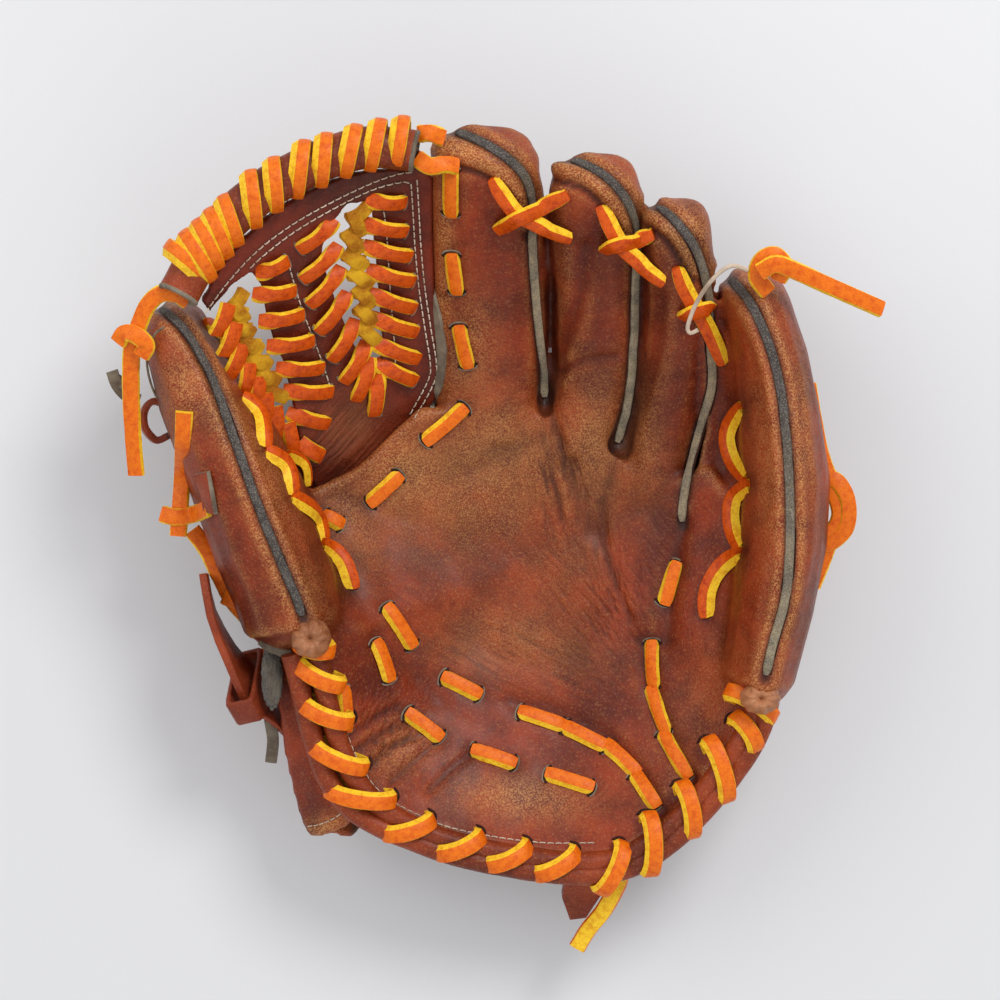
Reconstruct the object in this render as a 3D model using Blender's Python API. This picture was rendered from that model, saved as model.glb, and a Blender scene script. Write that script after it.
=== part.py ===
"""An infield baseball glove for the left hand, lying palm up on its back.

X runs from the thumb to the little finger, Y from the heel to the finger tips, and Z up from the
floor. Plan places are seen places: thousandths of the view, right of and above its middle, as seen
from EYE_HEIGHT above the floor. Heights are shares of GLOVE_HEIGHT.
"""

import math

import bmesh
import bpy
import numpy as np
from mathutils import Vector, geometry
from mathutils.bvhtree import BVHTree

# Overall sizes, in metres
GLOVE_LENGTH = 0.274
GLOVE_WIDTH = 0.250
GLOVE_HEIGHT = 0.105
EYE_HEIGHT = 1.10
SEEN_LENGTH = 0.692  # share of the view that the length takes
SEEN_WIDTH = 0.631  # share of the view that the width takes

# Leather
PALM_WALL = 0.005
STALL_WALL = 0.003
BACK_WALL = 0.003
WEB_WALL = 0.0026
STRAP_WIDTH = 0.021
STRAP_WALL = 0.003
GAP = 0.0003  # clearance between pieces that touch

# Stalls
INDEX_WIDTH = 0.0415
MIDDLE_WIDTH = 0.0335
RING_WIDTH = 0.0262
FINGER_THICK = 0.027
THUMB_DEPTH = 0.076
THUMB_THICK = 0.040
LITTLE_DEPTH = 0.080
LITTLE_THICK = 0.033
FINGER_SQUARENESS = 2.7  # 2 is an ellipse, and more is a rounder box
EDGE_SQUARENESS = 2.15
WELT_RADIUS = 0.0017
CAP_RADIUS = 0.0078

# Edges and laces
HEEL_ROLL = 0.0046  # radius of the rolled edge
WEB_ROLL_DEEP = 0.0075  # half of the web's roll across the panel's edge
WEB_ROLL_THICK = 0.0058  # half of it through the panel
LACE_WIDTH = 0.0066
LACE_THICK = 0.0022
LACE_BITE = 0.0072  # from the heel roll's middle to the holes in the palm
LACE_SLACK = 0.0010  # how far a wound or laid lace stands off what it goes round
HEEL_SLACK = 0.0014  # the same for the heel's lace
RUNG_WIDTH = 0.00627  # width of a lace across the nets
SHOWN_PART = 0.45  # share of a wound lace's turn that goes straight across
WEB_ROLL_LEAN = 0.45  # how steeply the web's roll leans out
WIND_STEPS = 8  # straight stretches in one turn of a wound lace
HEEL_TURNS = 15
WEB_TURNS = 12

SPAN_X = GLOVE_WIDTH / SEEN_WIDTH
SPAN_Y = GLOVE_LENGTH / SEEN_LENGTH

# Each stall, from its mouth to its tip: seen right and up, middle's height, share of the stall's
# width, share of its thickness, and the roll in degrees of its wide side from level.
STALL_ROWS = {
    "thumb_stall": (
        (-203, -120, 0.45, 0.92, 0.96, 94),
        (-214, -84, 0.46, 0.98, 1.00, 93),
        (-232, -42, 0.48, 1.00, 1.02, 92),
        (-249, 5, 0.50, 0.99, 1.02, 91),
        (-270, 52, 0.52, 0.94, 0.96, 91),
        (-298, 105, 0.54, 0.86, 0.80, 91),
        (-321, 161, 0.57, 0.74, 0.64, 92),
    ),
    "index_stall": (
        (-10, 66, 0.200, 0.96, 1.00, 0),
        (-11, 122, 0.26, 1.02, 1.00, 0),
        (-10, 176, 0.35, 1.07, 1.00, 0),
        (-10, 232, 0.47, 1.06, 0.98, 0),
        (-14, 286, 0.60, 1.02, 0.94, 0),
        (-16, 340, 0.75, 0.94, 0.84, 0),
    ),
    "middle_stall": (
        (82, 50, 0.200, 0.86, 1.00, -2),
        (90, 104, 0.25, 0.96, 1.00, -2),
        (99, 158, 0.34, 1.00, 1.00, -2),
        (99, 212, 0.46, 1.00, 0.98, 0),
        (97, 266, 0.59, 1.02, 0.94, 0),
        (94, 314, 0.73, 0.98, 0.84, 0),
    ),
    "ring_stall": (
        (153, -4, 0.20, 0.80, 0.96, -6),
        (160, 56, 0.27, 0.96, 0.96, -6),
        (170, 110, 0.35, 0.98, 0.96, -6),
        (177, 162, 0.45, 0.96, 0.95, -4),
        (180, 216, 0.58, 0.94, 0.92, 0),
        (178, 273, 0.71, 0.92, 0.84, 0),
    ),
    "little_stall": (
        (256, -172, 0.45, 0.88, 0.86, 90),
        (270, -104, 0.48, 0.98, 0.94, 90),
        (280, -40, 0.50, 1.00, 1.00, 89),
        (284, 20, 0.51, 1.00, 0.97, 89),
        (277, 84, 0.52, 0.96, 0.90, 89),
        (268, 145, 0.54, 0.88, 0.82, 89),
        (255, 195, 0.58, 0.76, 0.74, 89),
    ),
}
STALL_SIZES = {
    "thumb_stall": (THUMB_DEPTH, THUMB_THICK, 0.014, EDGE_SQUARENESS),
    "index_stall": (INDEX_WIDTH, FINGER_THICK, 0.012, FINGER_SQUARENESS),
    "middle_stall": (MIDDLE_WIDTH, FINGER_THICK, 0.011, FINGER_SQUARENESS),
    "ring_stall": (RING_WIDTH, FINGER_THICK, 0.010, FINGER_SQUARENESS),
    "little_stall": (LITTLE_DEPTH, LITTLE_THICK, 0.013, EDGE_SQUARENESS),
}
# Each welt's way over its stall: station (0 is the mouth, 1 the tip's start, 2 the tip's end) and
# the angle round the stall in degrees, from its wide side towards its front.
WELT_ROWS = {
    "thumb_welt": ((0.08, 0), (0.3, 0), (0.6, 0), (0.9, 0), (1.3, 0)),
    "index_welt": ((0.14, 48), (0.4, 48), (0.7, 50), (0.95, 52), (1.3, 62), (1.45, 90), (1.4, 122)),
    "middle_welt": ((0.14, 50), (0.4, 50), (0.7, 52), (0.95, 54), (1.3, 62), (1.45, 90), (1.4, 118)),
    "ring_welt": ((0.20, 52), (0.4, 52), (0.7, 56), (0.95, 56), (1.3, 64), (1.45, 90), (1.4, 112)),
    "little_welt": ((0.06, 0), (0.3, 0), (0.6, 0), (0.9, 0), (1.3, 0)),
}
# The folded ends of the two side welts: seen right and up, and height.
CAPS = {"thumb_end_cap": (-189, -137, 0.73), "little_end_cap": (260, -193, 0.72)}

# The palm's rim, clockwise from the thumb's crotch: seen right and up, and height.
PALM_MIDDLE = (40, -60, 0.26)
PALM_STEEPNESS = 2.1
PALM_RIM = (
    (-212, 6, 0.47),
    (-184, 12, 0.41),
    (-155, 22, 0.39),
    (-130, 38, 0.38),
    (-100, 70, 0.37),
    (-66, 92, 0.36),
    (-12, 88, 0.335),
    (45, 84, 0.335),
    (85, 72, 0.335),
    (118, 45, 0.34),
    (155, 12, 0.345),
    (206, 34, 0.42),
    (240, -14, 0.49),
    (250, -66, 0.55),
    (254, -122, 0.60),
    (260, -180, 0.66),
    (248, -237, 0.64),
    (221, -274, 0.62),
    (191, -312, 0.60),
    (152, -346, 0.58),
    (110, -367, 0.57),
    (50, -364, 0.57),
    (-35, -349, 0.57),
    (-105, -323, 0.59),
    (-152, -288, 0.61),
    (-173, -232, 0.63),
    (-184, -182, 0.66),
    (-196, -140, 0.68),
    (-208, -90, 0.60),
    (-214, -40, 0.52),
)
HEEL_ROWS = (15.3, 26.8)  # the rim's rows from which to which the heel's roll runs

# The back's rim, clockwise from the thumb's crotch: seen right and up, and height.
BACK_MIDDLE = (30, -60, 0.0)
BACK_FLAT = 0.58  # share of the way to the rim that lies flat on the floor
BACK_RIM = (
    (-190, 62, 0.06),
    (-110, 110, 0.10),
    (-60, 132, 0.12),
    (40, 138, 0.12),
    (110, 124, 0.13),
    (165, 140, 0.26),
    (215, 150, 0.34),
    (240, 70, 0.16),
    (254, 0, 0.10),
    (270, -70, 0.12),
    (284, -120, 0.36),
    (280, -170, 0.50),
    (268, -212, 0.51),
    (252, -250, 0.49),
    (226, -292, 0.46),
    (196, -328, 0.42),
    (148, -350, 0.30),
    (100, -305, 0.13),
    (60, -240, 0.07),
    (0, -212, 0.06),
    (-60, -235, 0.07),
    (-110, -295, 0.14),
    (-150, -338, 0.28),
    (-192, -324, 0.40),
    (-210, -250, 0.51),
    (-226, -195, 0.54),
    (-240, -150, 0.56),
    (-252, -105, 0.40),
    (-262, -60, 0.12),
    (-262, -20, 0.08),
    (-240, 30, 0.06),
)

# The web's surface: seen right and up, and height.
WEB_FIELD = (
    (-81, 350, 0.86),
    (-152, 350, 0.90),
    (-203, 331, 0.915),
    (-249, 302, 0.92),
    (-290, 258, 0.90),
    (-322, 203, 0.86),
    (-76, 244, 0.58),
    (-70, 177, 0.45),
    (-66, 120, 0.35),
    (-150, 250, 0.71),
    (-170, 170, 0.56),
    (-150, 100, 0.43),
    (-200, 220, 0.72),
    (-250, 180, 0.70),
    (-222, 130, 0.58),
    (-190, 60, 0.44),
    (-186, 5, 0.30),
    (-130, 32, 0.28),
    (-84, 70, 0.25),
)
WEB_OUTLINE = (
    (-306, 212),
    (-288, 262),
    (-250, 302),
    (-203, 331),
    (-152, 350),
    (-80, 350),
    (-66, 317),
    (-62, 244),
    (-58, 177),
    (-58, 120),
    (-70, 88),
    (-98, 58),
    (-130, 30),
    (-157, 14),
    (-180, 8),
    (-196, 26),
    (-200, 60),
    (-204, 88),
    (-209, 110),
    (-214, 135),
    (-224, 155),
    (-232, 180),
    (-238, 214),
    (-248, 228),
    (-268, 214),
    (-290, 188),
)
WEB_HOLE = (
    (-152, 296),
    (-128, 298),
    (-125, 262),
    (-122, 230),
    (-119, 190),
    (-116, 150),
    (-120, 138),
    (-134, 134),
    (-148, 160),
    (-160, 188),
    (-170, 216),
    (-178, 244),
    (-174, 268),
)
# The middle of the web's roll, from the index finger to the thumb.
WEB_ROLL_ROWS = (
    (-81, 350, 0.86),
    (-103, 355, 0.88),
    (-152, 350, 0.90),
    (-203, 331, 0.915),
    (-249, 302, 0.92),
    (-284, 267, 0.905),
    (-304, 240, 0.89),
    (-322, 203, 0.86),
)
# The nets' laces: seen right and up of each end.
NET_RIGHT = (
    ((-144, 296), (-96, 300)),
    ((-146, 279), (-96, 272)),
    ((-140, 256), (-92, 246)),
    ((-138, 233), (-89, 220)),
    ((-138, 210), (-87, 194)),
    ((-136, 186), (-86, 170)),
    ((-134, 161), (-84, 143)),
    ((-128, 139), (-86, 120)),
    ((-150, 262), (-198, 252)),
    ((-150, 238), (-196, 222)),
    ((-146, 214), (-190, 197)),
    ((-144, 190), (-180, 170)),
    ((-140, 168), (-168, 142)),
    ((-134, 146), (-156, 121)),
)
NET_RIGHT_SPINE = ((-143, 300), (-148, 262), (-143, 230), (-138, 199), (-137, 170), (-130, 135), (-127, 92))
NET_LEFT = (
    ((-260, 226), (-216, 240)),
    ((-258, 200), (-207, 211)),
    ((-250, 180), (-199, 187)),
    ((-240, 156), (-190, 161)),
    ((-232, 134), (-181, 134)),
    ((-222, 110), (-173, 110)),
    ((-212, 84), (-176, 79)),
    ((-262, 200), (-286, 172)),
    ((-254, 175), (-270, 146)),
    ((-242, 150), (-254, 118)),
    ((-230, 122), (-238, 92)),
)
NET_LEFT_SPINE = ((-264, 230), (-260, 195), (-248, 168), (-237, 143), (-228, 118), (-218, 92), (-204, 52))
NET_LEFT_EDGE = ((-288, 178), (-278, 160), (-262, 132), (-246, 104), (-230, 78), (-204, 52))

# Laces that cross leather or stand off it: rows of seen right and up, and height. A height of 0
# lies on the leather that is seen there. Ribbons of one lace that cross are one piece.
LACES = {
    "index_middle_lace": (
        ((-2, 318, 0), (10, 300, 0.865), (30, 285, 0.85), (46, 274, 0.80), (68, 268, 0)),
        ((-4, 274, 0), (15, 283, 0.83), (32, 290, 0.85), (46, 296, 0.84), (66, 302, 0)),
    ),
    "middle_ring_lace": (
        ((105, 290, 0), (116, 268, 0.80), (132, 250, 0.785), (147, 237, 0.74), (162, 228, 0)),
        ((106, 250, 0), (120, 254, 0.76), (134, 260, 0.79), (150, 264, 0.78), (166, 268, 0)),
    ),
    "ring_little_lace": (
        ((180, 230, 0), (186, 206, 0), (200, 180, 0.60), (222, 158, 0)),
        ((182, 188, 0), (200, 192, 0.66), (222, 196, 0)),
    ),
    "little_tip_lace": (
        ((246, 212, 0), (258, 236, 0.91), (284, 238, 0.92), (330, 220, 0.86), (382, 192, 0.79)),
        ((252, 208, 0), (272, 228, 0.91), (292, 254, 0.92)),
    ),
    "thumb_tip_lace": (
        (
            (-330, 188, 0),
            (-348, 186, 0.83),
            (-364, 172, 0.83),
            (-369, 150, 0.81),
            (-367, 100, 0.74),
            (-365, 26, 0.66),
        ),
        ((-382, 154, 0.80), (-354, 156, 0.82)),
    ),
    "thumb_side_lace": (
        ((-316, 86, 0.62), (-318, 40, 0.62), (-319, 0, 0.60), (-322, -36, 0.58)),
        ((-338, -12, 0.58), (-316, -10, 0.61), (-292, -8, 0.60)),
    ),
    "thumb_roll_lace": (
        ((-306, -28, 0.50), (-288, -54, 0.50), (-276, -86, 0.52), (-262, -112, 0.52)),
        ((-274, -96, 0.52), (-262, -92, 0.53), (-246, -98, 0.54)),
    ),
    "little_side_lace": (
        (
            (318, 60, 0.56),
            (326, 20, 0.56),
            (340, 4, 0.56),
            (349, -20, 0.55),
            (336, -44, 0.54),
            (322, -74, 0.53),
        ),
        ((322, 24, 0.56), (322, -10, 0.55), (324, -50, 0.53)),
    ),
    "heel_lace_end": (((118, -360, 0.49), (120, -384, 0.45), (102, -415, 0.41), (77, -446, 0.37)),),
}
# The folded tab under the heel, and the wrist strap's middle line: seen right and up, and height.
TAB_OUTLINE = ((70, -361), (106, -363), (103, -392), (86, -418), (70, -420), (62, -398))
TAB_FIELD = ((72, -361, 0.495), (106, -363, 0.49), (98, -405, 0.36), (64, -405, 0.37))
TAB_WALL = 0.004
# The last column is how far the strap's face leans from level, in degrees.
STRAP_ROWS = (
    (284, -208, 0.36, -75),
    (272, -230, 0.25, -60),
    (225, -264, 0.11, -30),
    (160, -284, 0.015, -6),
    (60, -290, 0.0, 0),
    (-60, -288, 0.0, 0),
    (-140, -274, 0.02, 6),
    (-196, -250, 0.11, 35),
    (-234, -222, 0.32, 70),
    (-252, -190, 0.47, 84),
    (-272, -158, 0.54, 92),
    (-292, -115, 0.58, 94),
    (-300, -74, 0.58, 94),
)
KEEPER_ROW = 9  # the strap's row that the keeper sits at
KEEPER_WIDTH = 0.011
KEEPER_WALL = 0.002
KEEPER_SLACK = 0.0025
FLEECE_PLACE = (-228, -176, 0.598)
FLEECE_SIZE = (0.008, 0.024, 0.006)

# Colours: linear red, green and blue, and roughness
LEATHER = ((0.22, 0.055, 0.022), 0.48)
DARK_LEATHER = ((0.09, 0.018, 0.010), 0.5)
WELT = ((0.16, 0.14, 0.12), 0.6)
RAWHIDE = ((0.75, 0.17, 0.015), 0.45)
FLEECE = ((0.30, 0.26, 0.22), 0.95)


def clear_scene():
    for thing in list(bpy.data.objects):
        bpy.data.objects.remove(thing, do_unlink=True)


def material(name, look):
    """The Principled material of one object."""
    made = bpy.data.materials.new(name)
    made.use_nodes = True
    shader = made.node_tree.nodes["Principled BSDF"]
    shader.inputs["Base Color"].default_value = (*look[0], 1)
    shader.inputs["Roughness"].default_value = look[1]
    shader.inputs["Metallic"].default_value = 0
    return made


def add_object(name, points, faces, look=None):
    """A mesh object in the scene; without a look it is a cutter."""
    mesh = bpy.data.meshes.new(name)
    mesh.from_pydata([tuple(point) for point in points], [], [tuple(face) for face in faces])
    mesh.validate()
    if look is not None:
        mesh.shade_smooth()
    made = bpy.data.objects.new(name, mesh)
    bpy.context.scene.collection.objects.link(made)
    if look is None:
        made.hide_render = True
        made.display_type = "WIRE"
    else:
        mesh.materials.append(material(name, look))
    return made


def face_out(made):
    """Turns a closed mesh's faces to point out."""
    work = bmesh.new()
    work.from_mesh(made.data)
    bmesh.ops.recalc_face_normals(work, faces=work.faces)
    work.to_mesh(made.data)
    work.free()
    return made


def add_wall(made, wall):
    """Gives an open surface its leather's thickness, on the side that its faces point away from."""
    solid = made.modifiers.new("wall", "SOLIDIFY")
    solid.thickness = wall
    solid.offset = -1
    solid.use_even_offset = False


def settle(made):
    """Applies an object's modifiers and keeps its main body, without the crumbs that a cut leaves."""
    graph = bpy.context.evaluated_depsgraph_get()
    mesh = bpy.data.meshes.new_from_object(made.evaluated_get(graph))
    made.modifiers.clear()
    made.data = mesh
    work = bmesh.new()
    work.from_mesh(mesh)
    islands, seen = [], set()
    for start in work.faces:
        if start in seen:
            continue
        seen.add(start)
        island, front = [], [start]
        while front:
            face = front.pop()
            island.append(face)
            for edge in face.edges:
                if len(edge.link_faces) == 2:
                    for other in edge.link_faces:
                        if other not in seen:
                            seen.add(other)
                            front.append(other)
        islands.append(island)
    islands.sort(key=len)
    for island in islands[:-1]:
        bmesh.ops.delete(work, geom=island, context="FACES")
    work.to_mesh(mesh)
    work.free()


def cut(made, cutters):
    for cutter in cutters:
        boolean = made.modifiers.new("cut_" + cutter.name, "BOOLEAN")
        boolean.operation = "DIFFERENCE"
        boolean.solver = "EXACT"
        boolean.use_self = True
        boolean.object = cutter
    bpy.context.view_layer.update()
    settle(made)


def place(right, up, height):
    """The point seen at these thousandths of the view that is this high above the floor."""
    nearer = 1 - height / EYE_HEIGHT
    return Vector((right / 1000 * SPAN_X * nearer, up / 1000 * SPAN_Y * nearer, height))


def place_share(right, up, share):
    return place(right, up, share * GLOVE_HEIGHT)


def smooth_rows(rows, count, closed=False):
    """Rows read off a Catmull-Rom curve through the given rows, count of them, evenly apart."""
    rows = np.array(rows, float)
    if closed:
        padded = np.vstack([rows[-1], rows, rows[:2]])
        at = np.arange(count) * len(rows) / count
    else:
        padded = np.vstack([2 * rows[0] - rows[1], rows, 2 * rows[-1] - rows[-2]])
        at = np.linspace(0, len(rows) - 1, count)
    found = []
    last = len(padded) - 4
    for value in at:
        first = min(int(value), last)
        t = value - first
        a, b, c, d = padded[first : first + 4]
        square, cube = 2 * a - 5 * b + 4 * c - d, 3 * b - a - 3 * c + d
        found.append(0.5 * (2 * b + (c - a) * t + square * t**2 + cube * t**3))
    return np.array(found)


def round_power(angle, power):
    """The corner of a rounded box at this angle, for a box that reaches 1 each way."""
    cosine, sine = math.cos(angle), math.sin(angle)
    return (
        math.copysign(abs(cosine) ** (2 / power), cosine),
        math.copysign(abs(sine) ** (2 / power), sine),
    )


class Stall:
    """A finger's stall: a rounded box swept along its middle line, closed by a round tip."""

    SIDES = 14
    BODY_RINGS = 7
    TIP_RINGS = (0.5, 0.82)

    def __init__(self, name):
        self.name = name
        self.rows = STALL_ROWS[name]
        self.wide, self.thick, self.tip, self.squareness = STALL_SIZES[name]

    def frame(self, station):
        """Middle, direction, wide half axis and front half axis at a station from 0 to 1."""
        count = 41
        rows = smooth_rows(self.rows, count)
        at = station * (count - 1)
        low = min(int(at), count - 2)
        row = rows[low] + (rows[low + 1] - rows[low]) * (at - low)
        before, after = rows[max(low - 1, 0)], rows[min(low + 2, count - 1)]
        along = (place_share(*after[:3]) - place_share(*before[:3])).normalized()
        roll = math.radians(row[5])
        across = Vector((math.cos(roll), 0, math.sin(roll)))
        across = (across - across.dot(along) * along).normalized()
        front = across.cross(along)
        return (
            place_share(*row[:3]),
            along,
            across * (row[3] * self.wide / 2),
            front * (row[4] * self.thick / 2),
        )

    def point(self, station, degrees, grow=0.0):
        """A point on the stall's outside: stations above 1 run over the round tip."""
        middle, along, wide, thick = self.frame(min(station, 1))
        over = max(station - 1, 0)
        shrink = (1 - over**2.3) ** (1 / 2.3)
        across, front = round_power(math.radians(degrees), self.squareness)
        wide = wide.normalized() * (wide.length + grow)
        thick = thick.normalized() * (thick.length + grow)
        return middle + along * over * (self.tip + grow) + (wide * across + thick * front) * shrink

    def skin(self, grow=0.0):
        """The outside's points and faces, open at the mouth."""
        stations = list(np.linspace(0, 1, self.BODY_RINGS)) + [1 + over for over in self.TIP_RINGS]
        turns = [360 * side / self.SIDES for side in range(self.SIDES)]
        points = [self.point(station, turn, grow) for station in stations for turn in turns]
        points.append(self.point(2, 0, grow))
        faces = []
        for ring in range(len(stations) - 1):
            for side in range(self.SIDES):
                after = (side + 1) % self.SIDES
                low, high = ring * self.SIDES, (ring + 1) * self.SIDES
                faces.append((low + side, high + side, high + after, low + after))
        top = (len(stations) - 1) * self.SIDES
        for side in range(self.SIDES):
            faces.append((top + side, len(points) - 1, top + (side + 1) % self.SIDES))
        return points, faces

    def build(self):
        points, faces = self.skin()
        made = add_object(self.name, points, faces, LEATHER)
        add_wall(made, STALL_WALL)
        return made

    def cutter(self, grow=GAP):
        points, faces = self.skin(grow)
        faces.append(tuple(range(self.SIDES)))
        return face_out(add_object(self.name + "_room", points, faces))


def tube(name, path, radius, sides, look, out=None):
    """A closed round rod along a path. With out, half axes along and across out replace the radius."""
    path = [Vector(point) for point in path]
    points, faces = [], []
    for index, middle in enumerate(path):
        along = (path[min(index + 1, len(path) - 1)] - path[max(index - 1, 0)]).normalized()
        side = Vector(out[index]) if out is not None else Vector((0, 0, 1))
        side = (side - side.dot(along) * along).normalized()
        other = along.cross(side)
        wide, thick = radius if out is not None else (radius, radius)
        for turn in range(sides):
            angle = 2 * math.pi * turn / sides
            points.append(middle + side * wide * math.cos(angle) + other * thick * math.sin(angle))
    for ring in range(len(path) - 1):
        for turn in range(sides):
            after = (turn + 1) % sides
            low, high = ring * sides, (ring + 1) * sides
            faces.append((low + turn, low + after, high + after, high + turn))
    faces.append(tuple(range(sides))[::-1])
    faces.append(tuple(range(len(points) - sides, len(points))))
    return face_out(add_object(name, points, faces, look))


def strip(name, path, normals, width, thick, look, grow=0.0):
    """A flat lace along a path of its middle, lying square to the normals."""
    path = [Vector(point) for point in path]
    points, faces = [], []
    for index, middle in enumerate(path):
        along = (path[min(index + 1, len(path) - 1)] - path[max(index - 1, 0)]).normalized()
        normal = Vector(normals[index])
        normal = (normal - normal.dot(along) * along).normalized()
        side = along.cross(normal) * (width / 2 + grow)
        up = normal * (thick / 2 + grow)
        points += [middle - side - up, middle + side - up, middle + side + up, middle - side + up]
    for ring in range(len(path) - 1):
        for turn in range(4):
            after = (turn + 1) % 4
            low, high = ring * 4, (ring + 1) * 4
            faces.append((low + turn, low + after, high + after, high + turn))
    faces.append((3, 2, 1, 0))
    faces.append(tuple(range(len(points) - 4, len(points))))
    return face_out(add_object(name, points, faces, look))


def build_welt(name, stall):
    """The piping in a stall's seam, and the cutter that makes room for it."""
    path = [stall.point(*row, WELT_RADIUS + GAP) for row in smooth_rows(WELT_ROWS[name], 12)]
    tube(name, path, WELT_RADIUS, 5, WELT)
    return tube(name + "_room", path, WELT_RADIUS + GAP, 5, None)


class Dish:
    """A bowl between a middle point and a rim; rim rows run clockwise."""

    def __init__(self, middle, rim, rings, turns, rise):
        self.middle = place_share(*middle)
        self.rows = smooth_rows(rim, turns, closed=True)
        self.count = len(rim)
        self.turns = turns
        self.rings = rings
        self.rise = rise
        self.rim = rim

    def rim_row(self, row):
        """The rim's point at a row number, which may lie between two rows."""
        fine = smooth_rows(self.rim, self.count * 20, closed=True)
        return place_share(*fine[int(round(row * 20)) % len(fine)])

    def at(self, rim, share):
        flat = self.middle + (rim - self.middle) * share
        return Vector((flat.x, flat.y, self.middle.z + (rim.z - self.middle.z) * self.rise(share)))

    def skin(self):
        rims = [place_share(*row) for row in self.rows]
        points = [self.middle]
        for share in self.rings:
            points += [self.at(rim, share) for rim in rims]
        faces = []
        for turn in range(self.turns):
            after = (turn + 1) % self.turns
            faces.append((0, 1 + after, 1 + turn))
            for ring in range(len(self.rings) - 1):
                low, high = 1 + ring * self.turns, 1 + (ring + 1) * self.turns
                faces.append((low + turn, low + after, high + after, high + turn))
        return points, faces


def palm_rise(share):
    return share**PALM_STEEPNESS


def back_rise(share):
    past = max(share - BACK_FLAT, 0) / (1 - BACK_FLAT)
    return past**1.5


def make_palm_dish():
    return Dish(PALM_MIDDLE, PALM_RIM, (0.35, 0.62, 0.82, 1.0), 38, palm_rise)


def heel_frames(dish, count):
    """Along the heel: the roll's middle, and the directions out of the palm and off its face."""
    first, last = HEEL_ROWS
    rows = np.linspace(first, last, count)
    frames = []
    for row in rows:
        rim = dish.rim_row(row)
        inner = dish.at(rim, 0.93)
        out = (rim - inner).normalized()
        along = (dish.rim_row(row + 0.3) - dish.rim_row(row - 0.3)).normalized()
        up = out.cross(along).normalized()
        if up.z < 0:
            up = -up
        frames.append((rim - up * PALM_WALL / 2, out, up))
    return frames


def wind(frames, turns, reach_out, reach_in, across, steps):
    """A lace's path round an edge: over its face, round the roll, under it and up through the leather.

    It gives the path and the normals. The lace moves on to its next hole on the hidden side.
    """
    path, normals = [], []
    total = turns * steps
    for step in range(total + 1):
        turn, part = divmod(step, steps)
        share = part / steps
        angle = 2 * math.pi * share
        moved = turn + max(0.0, (share - SHOWN_PART) / (1 - SHOWN_PART))
        at = moved / turns * (len(frames) - 1)
        low = min(int(at), len(frames) - 2)
        mix = at - low
        middle, out, up = (frames[low][k] + (frames[low + 1][k] - frames[low][k]) * mix for k in range(3))
        cosine, sine = -math.cos(angle), math.sin(angle)
        reach = reach_out if cosine > 0 else reach_in
        path.append(middle + out * cosine * reach + up * sine * across)
        normals.append(out * cosine / reach + up * sine / across)
    return path, normals


def build_heel(dish):
    """The rolled edge, its lace, and the cutters that make room for both in the palm."""
    frames = heel_frames(dish, 32)
    middles = [frame[0] for frame in frames]
    outs = [frame[1] for frame in frames]
    tube("heel_binding", middles, (HEEL_ROLL, HEEL_ROLL), 8, LEATHER, outs)
    room = tube("heel_binding_room", middles, (HEEL_ROLL + GAP, HEEL_ROLL + GAP), 8, None, outs)
    reach = HEEL_ROLL + HEEL_SLACK + LACE_THICK / 2
    path, normals = wind(frames[1:-1], HEEL_TURNS, reach, LACE_BITE + reach / 2, reach, WIND_STEPS)
    strip("heel_lace", path, normals, LACE_WIDTH, LACE_THICK, RAWHIDE)
    lace_room = strip("heel_lace_room", path, normals, LACE_WIDTH, LACE_THICK, None, GAP)
    return [room, lace_room]


def height_field(points):
    """A smooth surface through a few points, as a thin plate: gives its height at x and y."""
    points = np.array(points, float)
    flat, height = points[:, :2], points[:, 2]
    count = len(points)

    def bend(first, second):
        far = ((first[:, None] - second[None]) ** 2).sum(2)
        return far * np.log(far + 1e-12)

    table = np.zeros((count + 3, count + 3))
    table[:count, :count] = bend(flat, flat)
    table[:count, count] = 1
    table[:count, count + 1 :] = flat
    table[count:, :count] = table[:count, count:].T
    weights = np.linalg.lstsq(table, np.append(height, [0, 0, 0]), rcond=1e-9)[0]

    def at(x, y):
        spot = np.array([[x, y]])
        return float(bend(spot, flat)[0] @ weights[:count] + weights[count] + spot[0] @ weights[count + 1 :])

    return at


def seen_on(field, right, up):
    """The point of a height field that is seen at this place."""
    height = 0.5 * GLOVE_HEIGHT
    for _ in range(8):
        spot = place(right, up, height)
        height = field(spot.x, spot.y)
    return Vector((spot.x, spot.y, height))


def plan_sheet(name, outlines, holes, field, wall, look, spacing=None):
    """A sheet over a height field: the joined outlines, less the holes."""
    spots, loops = [], []
    for outline in list(outlines) + list(holes):
        loops.append(list(range(len(spots), len(spots) + len(outline))))
        spots += [Vector((point.x, point.y)) for point in outline]
    if spacing:
        xs = [spot.x for spot in spots]
        ys = [spot.y for spot in spots]
        for x in np.arange(min(xs), max(xs), spacing):
            for y in np.arange(min(ys), max(ys), spacing):
                spots.append(Vector((x, y)))
    flat, _, faces, _, _, owners = geometry.delaunay_2d_cdt(spots, [], loops, 1, 1e-6)
    kept = []
    for face, owner in zip(faces, owners):
        if any(index < len(outlines) for index in owner) and all(index < len(outlines) for index in owner):
            kept.append(face)
    used = sorted({index for face in kept for index in face})
    number = {index: place_in for place_in, index in enumerate(used)}
    points = [Vector((flat[index].x, flat[index].y, field(flat[index].x, flat[index].y))) for index in used]
    faces = [tuple(number[index] for index in face) for face in kept]
    made = add_object(name, points, faces, look)
    add_wall(made, wall)
    return made


def lifted(field, lift):
    """The surface that lies this far off a height field, measured square to it."""
    step = 0.001

    def at(x, y):
        here = field(x, y)
        slope_x, slope_y = (field(x + step, y) - here) / step, (field(x, y + step) - here) / step
        return here + lift * math.sqrt(1 + slope_x**2 + slope_y**2)

    return at


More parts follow.
